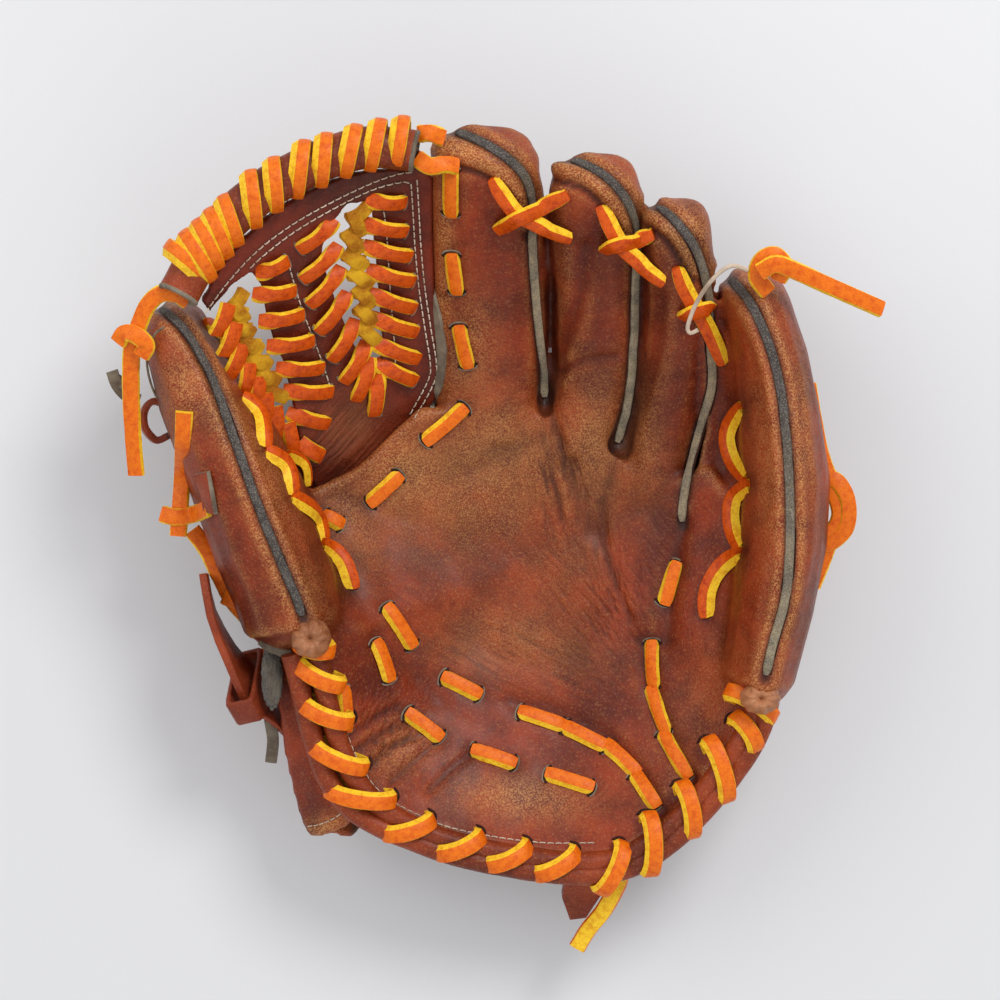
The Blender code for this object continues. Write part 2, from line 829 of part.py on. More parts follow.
def ribbon(points, width):
    """The outline of a flat lace through these plan points."""
    left, right = [], []
    for index, point in enumerate(points):
        along = points[min(index + 1, len(points) - 1)] - points[max(index - 1, 0)]
        side = Vector((-along.y, along.x, 0)).normalized() * width / 2
        left.append(point + side)
        right.append(point - side)
    return right + left[::-1]


def build_web(thumb_room, index_room):
    field = height_field([place_share(*row) for row in WEB_FIELD])
    outline = [seen_on(field, *row) for row in WEB_OUTLINE]
    hole = [seen_on(field, *row) for row in WEB_HOLE]
    panel = plan_sheet("web_panel", [outline[::-1]], [hole[::-1]], field, WEB_WALL, DARK_LEATHER, 0.016)
    rows = smooth_rows(WEB_ROLL_ROWS, 24)
    middles = [place_share(*row) for row in rows]
    outs = []
    for index, middle in enumerate(middles):
        along = middles[min(index + 1, len(middles) - 1)] - middles[max(index - 1, 0)]
        outs.append(Vector((-along.y, along.x, 0)).normalized() * -1 + Vector((0, 0, WEB_ROLL_LEAN)))
    frames = []
    for index, middle in enumerate(middles):
        along = (middles[min(index + 1, len(middles) - 1)] - middles[max(index - 1, 0)]).normalized()
        out = (outs[index] - outs[index].dot(along) * along).normalized()
        up = out.cross(along).normalized()
        frames.append((middle, out, up if up.z > 0 else -up))
    axes = (WEB_ROLL_DEEP, WEB_ROLL_THICK)
    tube("web_binding", middles, axes, 10, LEATHER, outs)
    room = tube("web_binding_room", middles, (axes[0] + GAP, axes[1] + GAP), 10, None, outs)
    reach = WEB_ROLL_DEEP + LACE_SLACK + LACE_THICK / 2
    across = WEB_ROLL_THICK + LACE_SLACK + LACE_THICK / 2
    path, normals = wind(frames[1:-1], WEB_TURNS, reach, reach, across, WIND_STEPS)
    strip("web_top_lace", path, normals, LACE_WIDTH, LACE_THICK, RAWHIDE)
    lace_room = strip("web_top_lace_room", path, normals, LACE_WIDTH, LACE_THICK, None, GAP)
    cut(panel, [room, lace_room, thumb_room, index_room])

    above = lifted(field, LACE_THICK + LACE_SLACK)
    for name, spine, rungs in (
        ("web_net_right", NET_RIGHT_SPINE, NET_RIGHT),
        ("web_net_left", NET_LEFT_SPINE, NET_LEFT),
    ):
        laces = [ribbon([seen_on(field, *spot) for spot in spine], LACE_WIDTH)]
        if name == "web_net_left":
            laces.append(ribbon([seen_on(field, *spot) for spot in NET_LEFT_EDGE], LACE_WIDTH))
        for rung in rungs:
            laces.append(ribbon([seen_on(field, *spot) for spot in rung], RUNG_WIDTH))
        net = plan_sheet(name, laces, [], above, LACE_THICK, RAWHIDE)
        cut(net, [thumb_room, index_room])


def build_cap(name, room_of_stall, roll_room):
    """A folded leather knob over the end of a side welt, and its cutter."""
    middle = place_share(*CAPS[name])
    made = []
    for radius, look in ((CAP_RADIUS, LEATHER), (CAP_RADIUS + GAP, None)):
        work = bmesh.new()
        bmesh.ops.create_uvsphere(work, u_segments=10, v_segments=6, radius=radius)
        mesh = bpy.data.meshes.new(name)
        work.to_mesh(mesh)
        work.free()
        points = [middle + vert.co for vert in mesh.vertices]
        faces = [tuple(face.vertices) for face in mesh.polygons]
        bpy.data.meshes.remove(mesh)
        made.append(add_object(name if look else name + "_room", points, faces, look))
    cut(made[0], [room_of_stall, roll_room])
    return made[1]


def seen_hit(trees, right, up):
    """The leather seen at this place, as a point and the direction off its face, or None."""
    eye = Vector((0, 0, EYE_HEIGHT))
    way = (place(right, up, 0) - eye).normalized()
    best = None
    for tree in trees:
        point, normal, _, far = tree.ray_cast(eye, way)
        if point is not None and (best is None or far < best[2]):
            best = (point, normal if normal.dot(way) < 0 else -normal, far)
    return best


def build_lace(name, trees, rooms):
    """A lace of crossing ribbons, laid on the leather where its rows say so."""
    laces, spots = [], []
    for rows in LACES[name]:
        points = []
        for right, up, share in rows:
            hit = None if share else seen_hit(trees, right, up)
            if hit:
                points.append(hit[0] + hit[1] * (LACE_THICK + LACE_SLACK))
            elif share:
                points.append(place_share(right, up, share))
            else:
                points.append(place(right, up, points[-1].z))
        spots += points
        laces.append(ribbon(points, LACE_WIDTH))
    made = plan_sheet(name, laces, [], height_field(spots), LACE_THICK, RAWHIDE)
    cut(made, rooms)


def strap_path():
    """The strap's middle line and the directions off its inner face."""
    path, normals = [], []
    for right, up, share, lean in smooth_rows(STRAP_ROWS, 26):
        angle = math.radians(lean)
        normal = Vector((math.sin(angle), 0, math.cos(angle)))
        path.append(place_share(right, up, max(share, 0)) + normal * STRAP_WALL / 2)
        normals.append(normal)
    return path, normals


def build_strap():
    path, normals = strap_path()
    strip("wrist_strap", path, normals, STRAP_WIDTH, STRAP_WALL, LEATHER)
    at = round(KEEPER_ROW / (len(STRAP_ROWS) - 1) * (len(path) - 1))
    along = (path[at + 1] - path[at - 1]).normalized()
    normal = (normals[at] - normals[at].dot(along) * along).normalized()
    side = along.cross(normal)
    build_keeper(path[at], along, side, normal)


def build_keeper(middle, along, side, normal):
    """The band round the strap: a rounded box ring, open at both ends."""
    corners = 12
    points, faces = [], []
    for end in (-KEEPER_WIDTH / 2, KEEPER_WIDTH / 2):
        for grow in (0, KEEPER_WALL):
            for corner in range(corners):
                across, off = round_power(2 * math.pi * (corner + 0.5) / corners, 8)
                reach = STRAP_WIDTH / 2 + KEEPER_SLACK + grow
                rise = STRAP_WALL / 2 + KEEPER_SLACK + grow
                points.append(middle + along * end + side * across * reach + normal * off * rise)
    for low, high in ((0, 1), (1, 3), (3, 2), (2, 0)):
        low, high = low * corners, high * corners
        for corner in range(corners):
            after = (corner + 1) % corners
            faces.append((low + corner, low + after, high + after, high + corner))
    face_out(add_object("strap_keeper", points, faces, LEATHER))


def build_fleece():
    work = bmesh.new()
    bmesh.ops.create_icosphere(work, subdivisions=2, radius=1)
    middle = place_share(*FLEECE_PLACE)
    mesh = bpy.data.meshes.new("fleece_pad")
    work.to_mesh(mesh)
    work.free()
    half = [size / 2 for size in FLEECE_SIZE]
    points = [middle + Vector([vert.co[axis] * half[axis] for axis in range(3)]) for vert in mesh.vertices]
    faces = [tuple(face.vertices) for face in mesh.polygons]
    bpy.data.meshes.remove(mesh)
    add_object("fleece_pad", points, faces, FLEECE)


def build_tab(rooms):
    field = height_field([place_share(*row) for row in TAB_FIELD])
    outline = [seen_on(field, *row) for row in TAB_OUTLINE]
    tab = plan_sheet("heel_tab", [outline[::-1]], [], field, TAB_WALL, LEATHER)
    cut(tab, rooms)


def main():
    clear_scene()
    stalls = {name: Stall(name) for name in STALL_ROWS}
    built = [stall.build() for stall in stalls.values()]
    welt_rooms = [build_welt(name, stalls[name.replace("_welt", "_stall")]) for name in WELT_ROWS]
    rooms = {name: stall.cutter() for name, stall in stalls.items()}
    dish = make_palm_dish()
    points, faces = dish.skin()
    palm = add_object("palm", points, faces, LEATHER)
    add_wall(palm, PALM_WALL)
    heel_rooms = build_heel(dish)
    cap_rooms = []
    for name in CAPS:
        cap_rooms.append(build_cap(name, rooms[name.replace("_end_cap", "_stall")], heel_rooms[0]))
    cut(palm, list(rooms.values()) + heel_rooms + cap_rooms)
    back = Dish(BACK_MIDDLE, BACK_RIM, (0.3, BACK_FLAT, 0.76, 0.9, 1.0), 38, back_rise)
    points, faces = back.skin()
    panel = add_object("back_panel", points, [face[::-1] for face in faces], LEATHER)
    add_wall(panel, BACK_WALL)
    cut(panel, list(rooms.values()))
    build_web(rooms["thumb_stall"], rooms["index_stall"])
    graph = bpy.context.evaluated_depsgraph_get()
    trees = [BVHTree.FromObject(made, graph) for made in built]
    for name in LACES:
        build_lace(name, trees, list(rooms.values()) + welt_rooms + heel_rooms)
    build_strap()
    build_fleece()
    build_tab(heel_rooms)


main()
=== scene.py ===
"""The looks of the infield baseball glove: leather skins, welts, laces, stitches and light.

Places are pixels of the 1000 by 1000 view, from its top left corner, and are cast onto the leather
that carries them. Depths, widths and lifts are metres.
"""
import math

import bmesh
import bpy
import numpy as np
from mathutils import Matrix, Vector, noise
from mathutils.bvhtree import BVHTree


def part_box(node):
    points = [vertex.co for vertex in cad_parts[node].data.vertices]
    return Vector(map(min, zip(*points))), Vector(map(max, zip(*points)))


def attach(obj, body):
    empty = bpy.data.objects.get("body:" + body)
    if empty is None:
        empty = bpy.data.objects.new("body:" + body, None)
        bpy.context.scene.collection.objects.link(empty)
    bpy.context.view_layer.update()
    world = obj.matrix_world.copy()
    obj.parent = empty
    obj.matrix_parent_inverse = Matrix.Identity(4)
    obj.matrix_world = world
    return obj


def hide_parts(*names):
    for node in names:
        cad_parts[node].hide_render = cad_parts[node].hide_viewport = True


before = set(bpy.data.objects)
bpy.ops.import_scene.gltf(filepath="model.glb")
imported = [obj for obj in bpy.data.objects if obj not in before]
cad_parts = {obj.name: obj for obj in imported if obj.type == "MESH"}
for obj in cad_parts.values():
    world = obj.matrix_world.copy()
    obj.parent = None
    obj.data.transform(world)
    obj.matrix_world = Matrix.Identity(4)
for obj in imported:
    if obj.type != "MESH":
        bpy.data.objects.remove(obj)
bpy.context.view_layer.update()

UP = Vector((0, 0, 1))

# The view: straight down from EYE
EYE = Vector((0, 0, 1.10))
LENS = 0.100
SENSOR = 0.036
VIEW_PIXELS = 1000
PIXEL = EYE.z * SENSOR / LENS / VIEW_PIXELS  # metres on the floor

# Laces and threads
LACE_WIDTH = 0.0069
LACE_THICK = 0.0020
EVEN_EDGES = (0.0005, 0.0005)  # how much of a lace's two cut edges shows: left and right of its way
WELT_WIDTH = 0.0033
# The share of each welt's length over which the dark at its tip fades out
WELT_DARK_SHARE = {
    "thumb_welt": 3.0,
    "index_welt": 0.5,
    "middle_welt": 0.45,
    "ring_welt": 0.35,
    "little_welt": 0.9,
}
THREAD_RADIUS = 0.00026
STITCH_PITCH = 0.0030
STITCH_SHARE = 0.72  # how much of its pitch a stitch covers
HOLE_DEPTH = 0.0034  # how far a lace's ends go into the leather
SHELL_SWELL = 0.00035
SHELL_VOXEL = 0.0016
WEB_VOXEL = 0.0009
PANEL_VOXEL = 0.0015

# Welts: their way over the leather
WELTS = {
    "thumb_welt": (
        (160, 308), (183, 330), (205, 366), (220, 401), (238, 450), (257, 504), (277, 553), (294, 594),
        (303, 618),
    ),
    "index_welt": (
        (440, 128), (460, 134), (484, 144), (507, 158), (522, 173), (530, 196), (532, 253), (536, 310),
        (542, 368), (545, 400),
    ),
    "middle_welt": (
        (549, 157), (575, 162), (602, 175), (622, 194), (632, 216), (636, 243), (634, 291), (633, 339),
        (628, 400), (616, 445),
    ),
    "ring_welt": (
        (646, 203), (665, 213), (684, 232), (697, 255), (707, 290), (710, 340), (712, 380), (707, 407),
        (698, 440), (689, 474), (684, 500), (682, 524),
    ),
    "little_welt": (
        (718, 273), (737, 286), (753, 306), (766, 335), (775, 362), (782, 396), (787, 440), (790, 485),
        (790, 551), (784, 602), (773, 643), (765, 678),
    ),
}
# Lace wraps over the web's roll: outer end, inner end
WEB_WRAPS = (
    ((399, 119), (394, 165)),
    ((376, 121), (369, 168)),
    ((352, 126), (344, 175)),
    ((322, 135), (320, 185)),
    ((300, 142), (296, 196)),
    ((269, 160), (276, 210)),
    ((246, 173), (255, 226)),
    ((219, 199), (237, 244)),
    ((205, 213), (227, 256)),
    ((193, 224), (218, 267)),
    ((180, 236), (211, 279)),
    ((167, 250), (203, 277)),
)
# Lace wraps over the heel's roll: outer end, inner end
HEEL_WRAPS = (
    ((296, 641), (333, 646)),
    ((297, 662), (344, 682)),
    ((302, 702), (352, 718)),
    ((312, 744), (367, 764)),
    ((327, 789), (394, 796)),
    ((383, 833), (431, 816)),
    ((436, 853), (480, 832)),
    ((486, 864), (527, 842)),
    ((534, 874), (575, 848)),
    ((600, 892), (620, 842)),
    ((650, 874), (645, 814)),
    ((692, 836), (678, 784)),
    ((727, 800), (705, 740)),
    ((756, 750), (731, 718)),
    ((774, 718), (726, 694)),
)
# Single stitches of lace in the palm and the index finger: one hole, the other hole
PALM_STITCHES = (
    ((451, 169), (451, 214)),
    ((452, 254), (457, 292)),
    ((459, 326), (468, 366)),
    ((465, 407), (425, 441)),
    ((399, 475), (369, 503)),
    ((386, 607), (412, 646)),
    ((375, 642), (389, 680)),
    ((443, 677), (479, 695)),
    ((407, 713), (440, 738)),
    ((472, 750), (514, 764)),
    ((547, 774), (592, 788)),
    ((520, 712), (563, 726)),
    ((565, 727), (605, 747)),
    ((606, 744), (637, 773)),
    ((635, 775), (656, 806)),
    ((652, 642), (654, 687)),
    ((651, 688), (667, 733)),
    ((663, 733), (688, 776)),
    ((677, 563), (664, 603)),
    ((342, 688), (345, 730)),
    ((324, 516), (341, 525)),
)
# Laces round the inner edges of the thumb and the little finger: a row of bulging arcs
EDGE_ARCS = (
    ((205, 325), (219, 337), (227, 357)),
    ((242, 398), (256, 415), (264, 446)),
    ((266, 452), (282, 466), (291, 494)),
    ((291, 497), (312, 515), (323, 545)),
    ((322, 545), (340, 560), (353, 588)),
    ((742, 408), (730, 432), (735, 459), (747, 478)),
    ((750, 486), (735, 500), (734, 524), (742, 548)),
    ((741, 553), (722, 568), (709, 592), (707, 617)),
)
# A narrower one beside them
SMALL_ARCS = (
    ((288, 455), (300, 466), (307, 486)),
)
# Laces from finger to finger: the lower one of each cross, then the one over it
CROSS_LACES = {
    "index_middle_lace": (
        ((495, 178), (500, 192), (512, 207), (530, 221), (550, 229), (571, 237)),
        ((497, 229), (515, 221), (534, 211), (551, 203), (567, 195)),
    ),
    "middle_ring_lace": (
        ((603, 206), (608, 222), (619, 242), (635, 258), (650, 270), (664, 281)),
        ((604, 250), (620, 245), (637, 240), (653, 235)),
    ),
    "ring_little_lace": (
        ((677, 268), (684, 286), (694, 305), (706, 325), (716, 342), (725, 362)),
        ((682, 316), (697, 311), (712, 308)),
    ),
}
# The nets' rungs: the end in the panel's edge, then the end at the spine
NET_RIGHT_RUNGS = (
    ((403, 200), (366, 198)),
    ((404, 229), (358, 221)),
    ((408, 254), (362, 244)),
    ((411, 279), (366, 268)),
    ((412, 306), (366, 291)),
    ((414, 330), (368, 315)),
    ((416, 357), (370, 340)),
    ((413, 379), (374, 361)),
    ((299, 247), (334, 219)),
    ((302, 277), (338, 244)),
    ((309, 302), (341, 266)),
    ((318, 329), (347, 291)),
    ((331, 357), (355, 318)),
    ((343, 379), (366, 340)),
    ((355, 397), (369, 356)),
    ((373, 412), (376, 368)),
)
NET_LEFT_RUNGS = (
    ((285, 260), (256, 272)),
    ((292, 289), (252, 293)),
    ((300, 313), (258, 320)),
    ((310, 339), (266, 345)),
    ((320, 366), (275, 367)),
    ((329, 390), (282, 389)),
    ((326, 422), (286, 411)),
)
NET_RIGHT_SPINE = ((360, 204), (352, 228), (350, 250), (358, 272), (363, 296), (364, 320), (368, 342))
NET_LEFT_SPINE = ((236, 292), (236, 318), (246, 338), (256, 358), (268, 380), (278, 400))
NET_LEFT_BRAID = (
    ((226, 300), (214, 330)),
    ((233, 318), (221, 350)),
    ((240, 340), (226, 372)),
    ((246, 358), (240, 392)),
    ((256, 372), (250, 408)),
    ((262, 388), (262, 424)),
    ((272, 402), (274, 440)),
    ((284, 418), (290, 452)),
    ((296, 438), (318, 452)),
)
# Rows of thread on the web and along the heel
WEB_THREADS = (
    ((205, 313), (228, 282), (256, 252), (290, 226), (330, 203), (372, 183), (398, 174), (414, 172)),
    ((250, 268), (264, 255), (294, 232), (333, 209), (372, 190), (402, 182), (411, 184)),
    ((411, 184), (413, 215), (415, 250), (419, 290), (425, 330), (430, 362), (428, 380), (409, 416)),
    ((417, 180), (419, 215), (421, 250), (425, 290), (431, 330), (436, 362), (434, 382), (414, 420)),
    ((287, 258), (295, 287), (303, 312), (313, 338), (323, 365), (331, 390)),
    ((383, 205), (387, 240), (390, 290), (394, 340), (396, 380)),
)
HEEL_THREADS = (
    (
        (346, 730), (352, 748), (362, 768), (374, 786), (390, 800), (414, 813), (448, 827), (495, 837),
        (545, 843), (596, 843),
    ),
)

# Leather that bridges the pieces: rows of px, py and height, and round ends
SLAB_THICK = 0.004
SHELL_SLABS = (
    (
        ((688, 510, 0.042), (712, 512, 0.042), (738, 505, 0.050)),
        ((698, 465, 0.042), (722, 466, 0.042), (744, 462, 0.052)),
        ((704, 425, 0.046), (726, 426, 0.045), (742, 422, 0.054)),
        ((706, 385, 0.052), (722, 386, 0.051), (736, 384, 0.058)),
        ((706, 350, 0.060), (716, 350, 0.058), (728, 350, 0.062)),
        ((702, 318, 0.066), (710, 318, 0.065), (718, 318, 0.066)),
        ((702, 300, 0.068), (711, 300, 0.067), (720, 300, 0.068)),
    ),
)
SHELL_KNUCKLES = (
    (297, 612, 0.047, (0.0185, 0.0170, 0.0350), 18),
    (757, 668, 0.047, (0.0140, 0.0150, 0.0350), -8),
)
BACK_SLABS = (
    (
        ((302, 596, 0.066), (275, 600, 0.058), (246, 600, 0.047)),
        ((303, 640, 0.064), (284, 642, 0.061), (264, 645, 0.056)),
        ((306, 690, 0.062), (292, 692, 0.059), (277, 694, 0.054)),
        ((312, 735, 0.060), (299, 738, 0.057), (283, 741, 0.051)),
        ((326, 775, 0.058), (310, 780, 0.055), (292, 785, 0.047)),
        ((348, 806, 0.057), (328, 814, 0.053), (301, 820, 0.044)),
        ((352, 822, 0.054), (332, 834, 0.050), (310, 838, 0.042)),
    ),
)

SHELL_NODES = ("palm", "thumb_stall", "index_stall", "middle_stall", "ring_stall", "little_stall")


def srgb(red, green, blue):
    """A linear colour from the eight-bit values of a screen."""
    def line(value):
        value /= 255
        return value / 12.92 if value <= 0.04045 else ((value + 0.055) / 1.055) ** 2.4
    return (line(red), line(green), line(blue), 1)


TAN = srgb(210, 150, 88)
BROWN = srgb(148, 52, 17)
DEEP_BROWN = srgb(92, 26, 8)
# Painted shade in the leather's hollows and creases
PAINTED_SHADE_BROWN = srgb(48, 14, 6)
POCKET = srgb(126, 74, 38)
MAROON = srgb(122, 40, 18)
DEEP_MAROON = srgb(74, 20, 8)
LINING = srgb(86, 62, 48)
LACE_FACE = srgb(234, 116, 12)
LACE_DARK = srgb(206, 80, 4)
LACE_RED = srgb(216, 88, 8)
LACE_RED_DARK = srgb(172, 52, 2)
LACE_FLESH = srgb(252, 206, 44)
WELT_GREY = srgb(160, 144, 116)
WELT_DARK = srgb(86, 80, 78)
# Dark of the welts' seams, also painted shade in the lace holes
SEAM_AND_HOLE_SHADE_DARK = srgb(58, 26, 16)
# Painted shade along pressed lines, steps, welts and thread rows
LINE_SHADE_BROWN = srgb(40, 22, 18)
THREAD_CREAM = srgb(226, 206, 184)
RAW_EDGE = srgb(142, 130, 112)
FLEECE_GREY = srgb(112, 100, 84)
FLOOR = srgb(220, 220, 221)


# Meshes


def placed(name, data, spot=(0, 0, 0)):
    """A new object in the scene."""
    made = bpy.data.objects.new(name, data)
    made.location = spot
    bpy.context.scene.collection.objects.link(made)
    return made


def linked(name, mesh):
    mesh.shade_smooth()
    return placed(name, mesh)


def from_work(name, work, materials=()):
    """A new object from a bmesh, which is freed."""
    mesh = bpy.data.meshes.new(name)
    work.to_mesh(mesh)
    work.free()
    for each in materials:
        mesh.materials.append(each)
    return linked(name, mesh)


def bake(made, materials):
    """Applies an object's modifiers and gives it these materials."""
    bpy.context.view_layer.update()
    graph = bpy.context.evaluated_depsgraph_get()
    made.data = bpy.data.meshes.new_from_object(made.evaluated_get(graph))
    made.modifiers.clear()
    made.data.materials.clear()
    for each in materials:
        made.data.materials.append(each)
    made.data.shade_smooth()


def finish_piece(made, slot, *nodes):
    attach(made, "root")
    if nodes:
        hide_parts(*nodes)
    return made


def add_slab(work, rows, thick):
    """A closed slab under a grid of seen places: px, py and height."""
    grid = [[seen(*place) for place in curve(row, 6)] for row in rows]
    columns = [curve(column, 24) for column in zip(*grid)]
    grid = [[Vector(point) for point in row] for row in zip(*columns)]
    wide, deep = len(grid[0]), len(grid)
    points = [point for row in grid for point in row]
    points += [point - Vector((0, 0, thick)) for point in points]
    half = wide * deep
    faces = []
    for first in range(deep - 1):
        for second in range(wide - 1):
            at = first * wide + second
            faces.append((at, at + 1, at + wide + 1, at + wide))
            faces.append((half + at, half + at + wide, half + at + wide + 1, half + at + 1))
    for first in range(deep - 1):
        for at in (first * wide, first * wide + wide - 1):
            faces.append((at, at + wide, half + at + wide, half + at))
    for second in range(wide - 1):
        for at in (second, (deep - 1) * wide + second):
            faces.append((at, at + 1, half + at + 1, half + at))
    verts = [work.verts.new(point) for point in points]
    made = [work.faces.new([verts[index] for index in face]) for face in faces]
    bmesh.ops.recalc_face_normals(work, faces=made)


def add_knuckle(work, px, py, height, sizes, lean):
    """A closed round end: half sizes across, along and up, turned by lean degrees."""
    turn = Matrix.Rotation(math.radians(lean), 4, "Z")
    place = Matrix.Translation(seen(px, py, height)) @ turn @ Matrix.Diagonal((*sizes, 1))
    bmesh.ops.create_icosphere(work, subdivisions=4, radius=1, matrix=place)


def joined_nodes(names, swell):
    """Copies of CAD nodes as one mesh, each swollen a little so that neighbours meet."""
    work = bmesh.new()
    for name in names:
        piece = bmesh.new()
        piece.from_mesh(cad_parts[name].data)
        bmesh.ops.remove_doubles(piece, verts=piece.verts, dist=1e-6)
        bmesh.ops.recalc_face_normals(piece, faces=piece.faces)
        piece.normal_update()
        for vert in piece.verts:
            vert.co += vert.normal * swell
        mesh = bpy.data.meshes.new(name + "_copy")
        piece.to_mesh(mesh)
        piece.free()
        work.from_mesh(mesh)
        bpy.data.meshes.remove(mesh)
    return work


def remeshed(name, names, voxel, swell, materials, slabs=(), knuckles=()):
    """A fine even skin over copies of CAD nodes, with the leather that bridges them."""
    work = joined_nodes(names, swell)
    for rows in slabs:
        add_slab(work, rows, SLAB_THICK)
    for rows in knuckles:
        add_knuckle(work, *rows)
    made = from_work(name, work)
    remesh = made.modifiers.new("skin", "REMESH")
    remesh.mode = "VOXEL"
    remesh.voxel_size = voxel
    bake(made, materials)
    made.data.name = name
    return made


def surface(made):
    """A skin's points, normals and edges."""
    mesh = made.data
    found = []
    for rows, field, width, kind in (
        (mesh.vertices, "co", 3, float),
        (mesh.vertex_normals, "vector", 3, float),
        (mesh.edges, "vertices", 2, int),
    ):
        values = np.zeros(len(rows) * width, kind)
        rows.foreach_get(field, values)
        found.append(values.reshape(-1, width))
    return found


def set_points(made, points):
    made.data.vertices.foreach_set("co", points.astype(np.float32).ravel())
    made.data.update()


def spread(values, edges, rounds, share=0.5):
    """Values eased towards the mean of their neighbours."""
    values = values.astype(float)
    flat = values.ndim == 1
    values = values.reshape(len(values), -1)
    degree = np.bincount(edges.ravel(), minlength=len(values))[:, None].clip(1)
    for _ in range(rounds):
        total = np.zeros_like(values)
        for column in range(values.shape[1]):
            total[:, column] = np.bincount(edges[:, 0], values[edges[:, 1], column], len(values))
            total[:, column] += np.bincount(edges[:, 1], values[edges[:, 0], column], len(values))
        values += share * (total / degree - values)
    return values[:, 0] if flat else values


def relax(made, rounds):
    """Smooths a skin without shrinking it: each round eases the points and then takes that back."""
    points, _, edges = surface(made)
    for _ in range(rounds):
        points = spread(points, edges, 1, 0.5)
        points = spread(points, edges, 1, -0.52)
    set_points(made, points)


def heading(path, index):
    """The unit way along a path at one of its points."""
    return (path[min(index + 1, len(path) - 1)] - path[max(index - 1, 0)]).normalized()


def curve(rows, count):
    """Points evenly apart on a Catmull-Rom curve through the rows."""
    rows = np.array(rows, float)
    if len(rows) == 2:
        rows = np.array([rows[0], (rows[0] + rows[1]) / 2, rows[1]])
    padded = np.vstack([2 * rows[0] - rows[1], rows, 2 * rows[-1] - rows[-2]])
    fine = []
    for first in range(len(rows) - 1):
        a, b, c, d = padded[first : first + 4]
        for t in np.linspace(0, 1, 16, endpoint=False):
            square = (2 * a - 5 * b + 4 * c - d) * t**2
            cube = (3 * b - a - 3 * c + d) * t**3
            fine.append(0.5 * (2 * b + (c - a) * t + square + cube))
    fine.append(rows[-1])
    fine = np.array(fine)
    length = np.append(0, np.cumsum(np.linalg.norm(np.diff(fine, axis=0), axis=1)))
    at = np.linspace(0, length[-1], count)
    return np.array([np.interp(at, length, fine[:, column]) for column in range(fine.shape[1])]).T


def wave(first, second, third):
    """Smooth noise at three numbers."""
    return noise.noise(Vector((first, second, third)))


def smooth_path(points, count):
    return [Vector(point) for point in curve([tuple(point) for point in points], count)]


# The view


def ray(px, py):
    half = VIEW_PIXELS / 2
    return (Vector(((px - half) * PIXEL, (half - py) * PIXEL, 0)) - EYE).normalized()


def seen(px, py, height):
    """The point seen at this pixel that is this high above the floor."""
    way = ray(px, py)
    return EYE + way * ((height - EYE.z) / way.z)


def seen_path(rows, count):
    """A smooth path through places of px, py and height."""
    return smooth_path([seen(*row) for row in rows], count)


def pixels_of(points):
    """The pixels at which points are seen."""
    near = 1 - points[:, 2] / EYE.z
    half = VIEW_PIXELS / 2
    return np.array([half + points[:, 0] / PIXEL / near, half - points[:, 1] / PIXEL / near]).T


def line_distance(spots, rows, count=24):
    """How far each seen spot is from a line through the rows, in pixels."""
    way = curve(rows, count)
    best = np.full(len(spots), 1e9)
    for first, second in zip(way[:-1], way[1:]):
        along = second - first
        share = ((spots - first) @ along / max(along @ along, 1e-9)).clip(0, 1)
        best = np.minimum(best, np.linalg.norm(spots - first - share[:, None] * along, axis=1))
    return best


def patch(spots, px, py, wide, high, lean=0.0):
    """A soft round patch: 1 in its middle and falling off over wide and high pixels."""
    turn = math.radians(lean)
    right, down = spots[:, 0] - px, spots[:, 1] - py
    u = (right * math.cos(turn) + down * math.sin(turn)) / wide
    v = (-right * math.sin(turn) + down * math.cos(turn)) / high
    return np.exp(-(u**2 + v**2))


def bell(far, half, power=2):
    """1 in the middle of a line and falling off over its half width."""
    return np.exp(-((far / half) ** power))


def painted(spots, rows):
    """The strongest of several patches, each px, py, wide, high, lean and strength."""
    return np.max([row[-1] * patch(spots, *row[:-1]) for row in rows], axis=0)


def press(spots, push, line_shade, rows, count, depth, half, dark, dark_half):
    """Presses a line into leather and paints shade along it, both fading out over pixels."""
    far = line_distance(spots, rows, count)
    push -= depth * bell(far, half)
    np.maximum(line_shade, dark * bell(far, dark_half), out=line_shade)


def set_values(made, values):
    """Writes a leather's attributes, from 0 to 1. What isn't written counts as 0."""
    for name, value in values.items():
        attribute = made.data.attributes.new(name, "FLOAT", "POINT")
        attribute.data.foreach_set("value", value.clip(0, 1).astype(np.float32))


class Ground:
    """The surfaces that laces and threads are cast onto."""

    def __init__(self, objects):
        graph = bpy.context.evaluated_depsgraph_get()
        self.trees = [BVHTree.FromObject(each, graph) for each in objects]

    def hit(self, px, py):
        way = ray(px, py)
        best = None
        for tree in self.trees:
            point, normal, _, far = tree.ray_cast(EYE, way)
            if point is not None and (best is None or far < best[2]):
                best = (point, normal if normal.dot(way) < 0 else -normal, far)
        return best

    def path(self, rows, count, lift, bridge=False, clip=False):
        """A path over the surfaces. With bridge it stays taut over dips, and with clip it ends where
        the surfaces end."""
        spots = curve(rows, count)
        hits = [self.hit(*spot) for spot in spots]
        known = [index for index, each in enumerate(hits) if each]
        if clip:
            spots = curve(spots[known[0] + 1 : known[-1]], count)
            hits = [self.hit(*spot) for spot in spots]
            known = [index for index, each in enumerate(hits) if each]
        if not known:
            hits[0] = self.trees[-1].find_nearest(seen(*spots[0], 0.06))
            known = [0]
        heights = np.interp(range(count), known, [hits[index][0].z for index in known])
        normals = np.array([hits[min(known, key=lambda k: abs(k - index))][1] for index in range(count)])
        if bridge:
            heights = hull_above(heights)
        heights = soften(heights, 2)
        normals = soften(normals, 5)
        points, ups = [], []
        for index in range(count):
            up = Vector(normals[index]).normalized()
            points.append(seen(*spots[index], heights[index]) + up * lift)
            ups.append(up)
        return points, ups


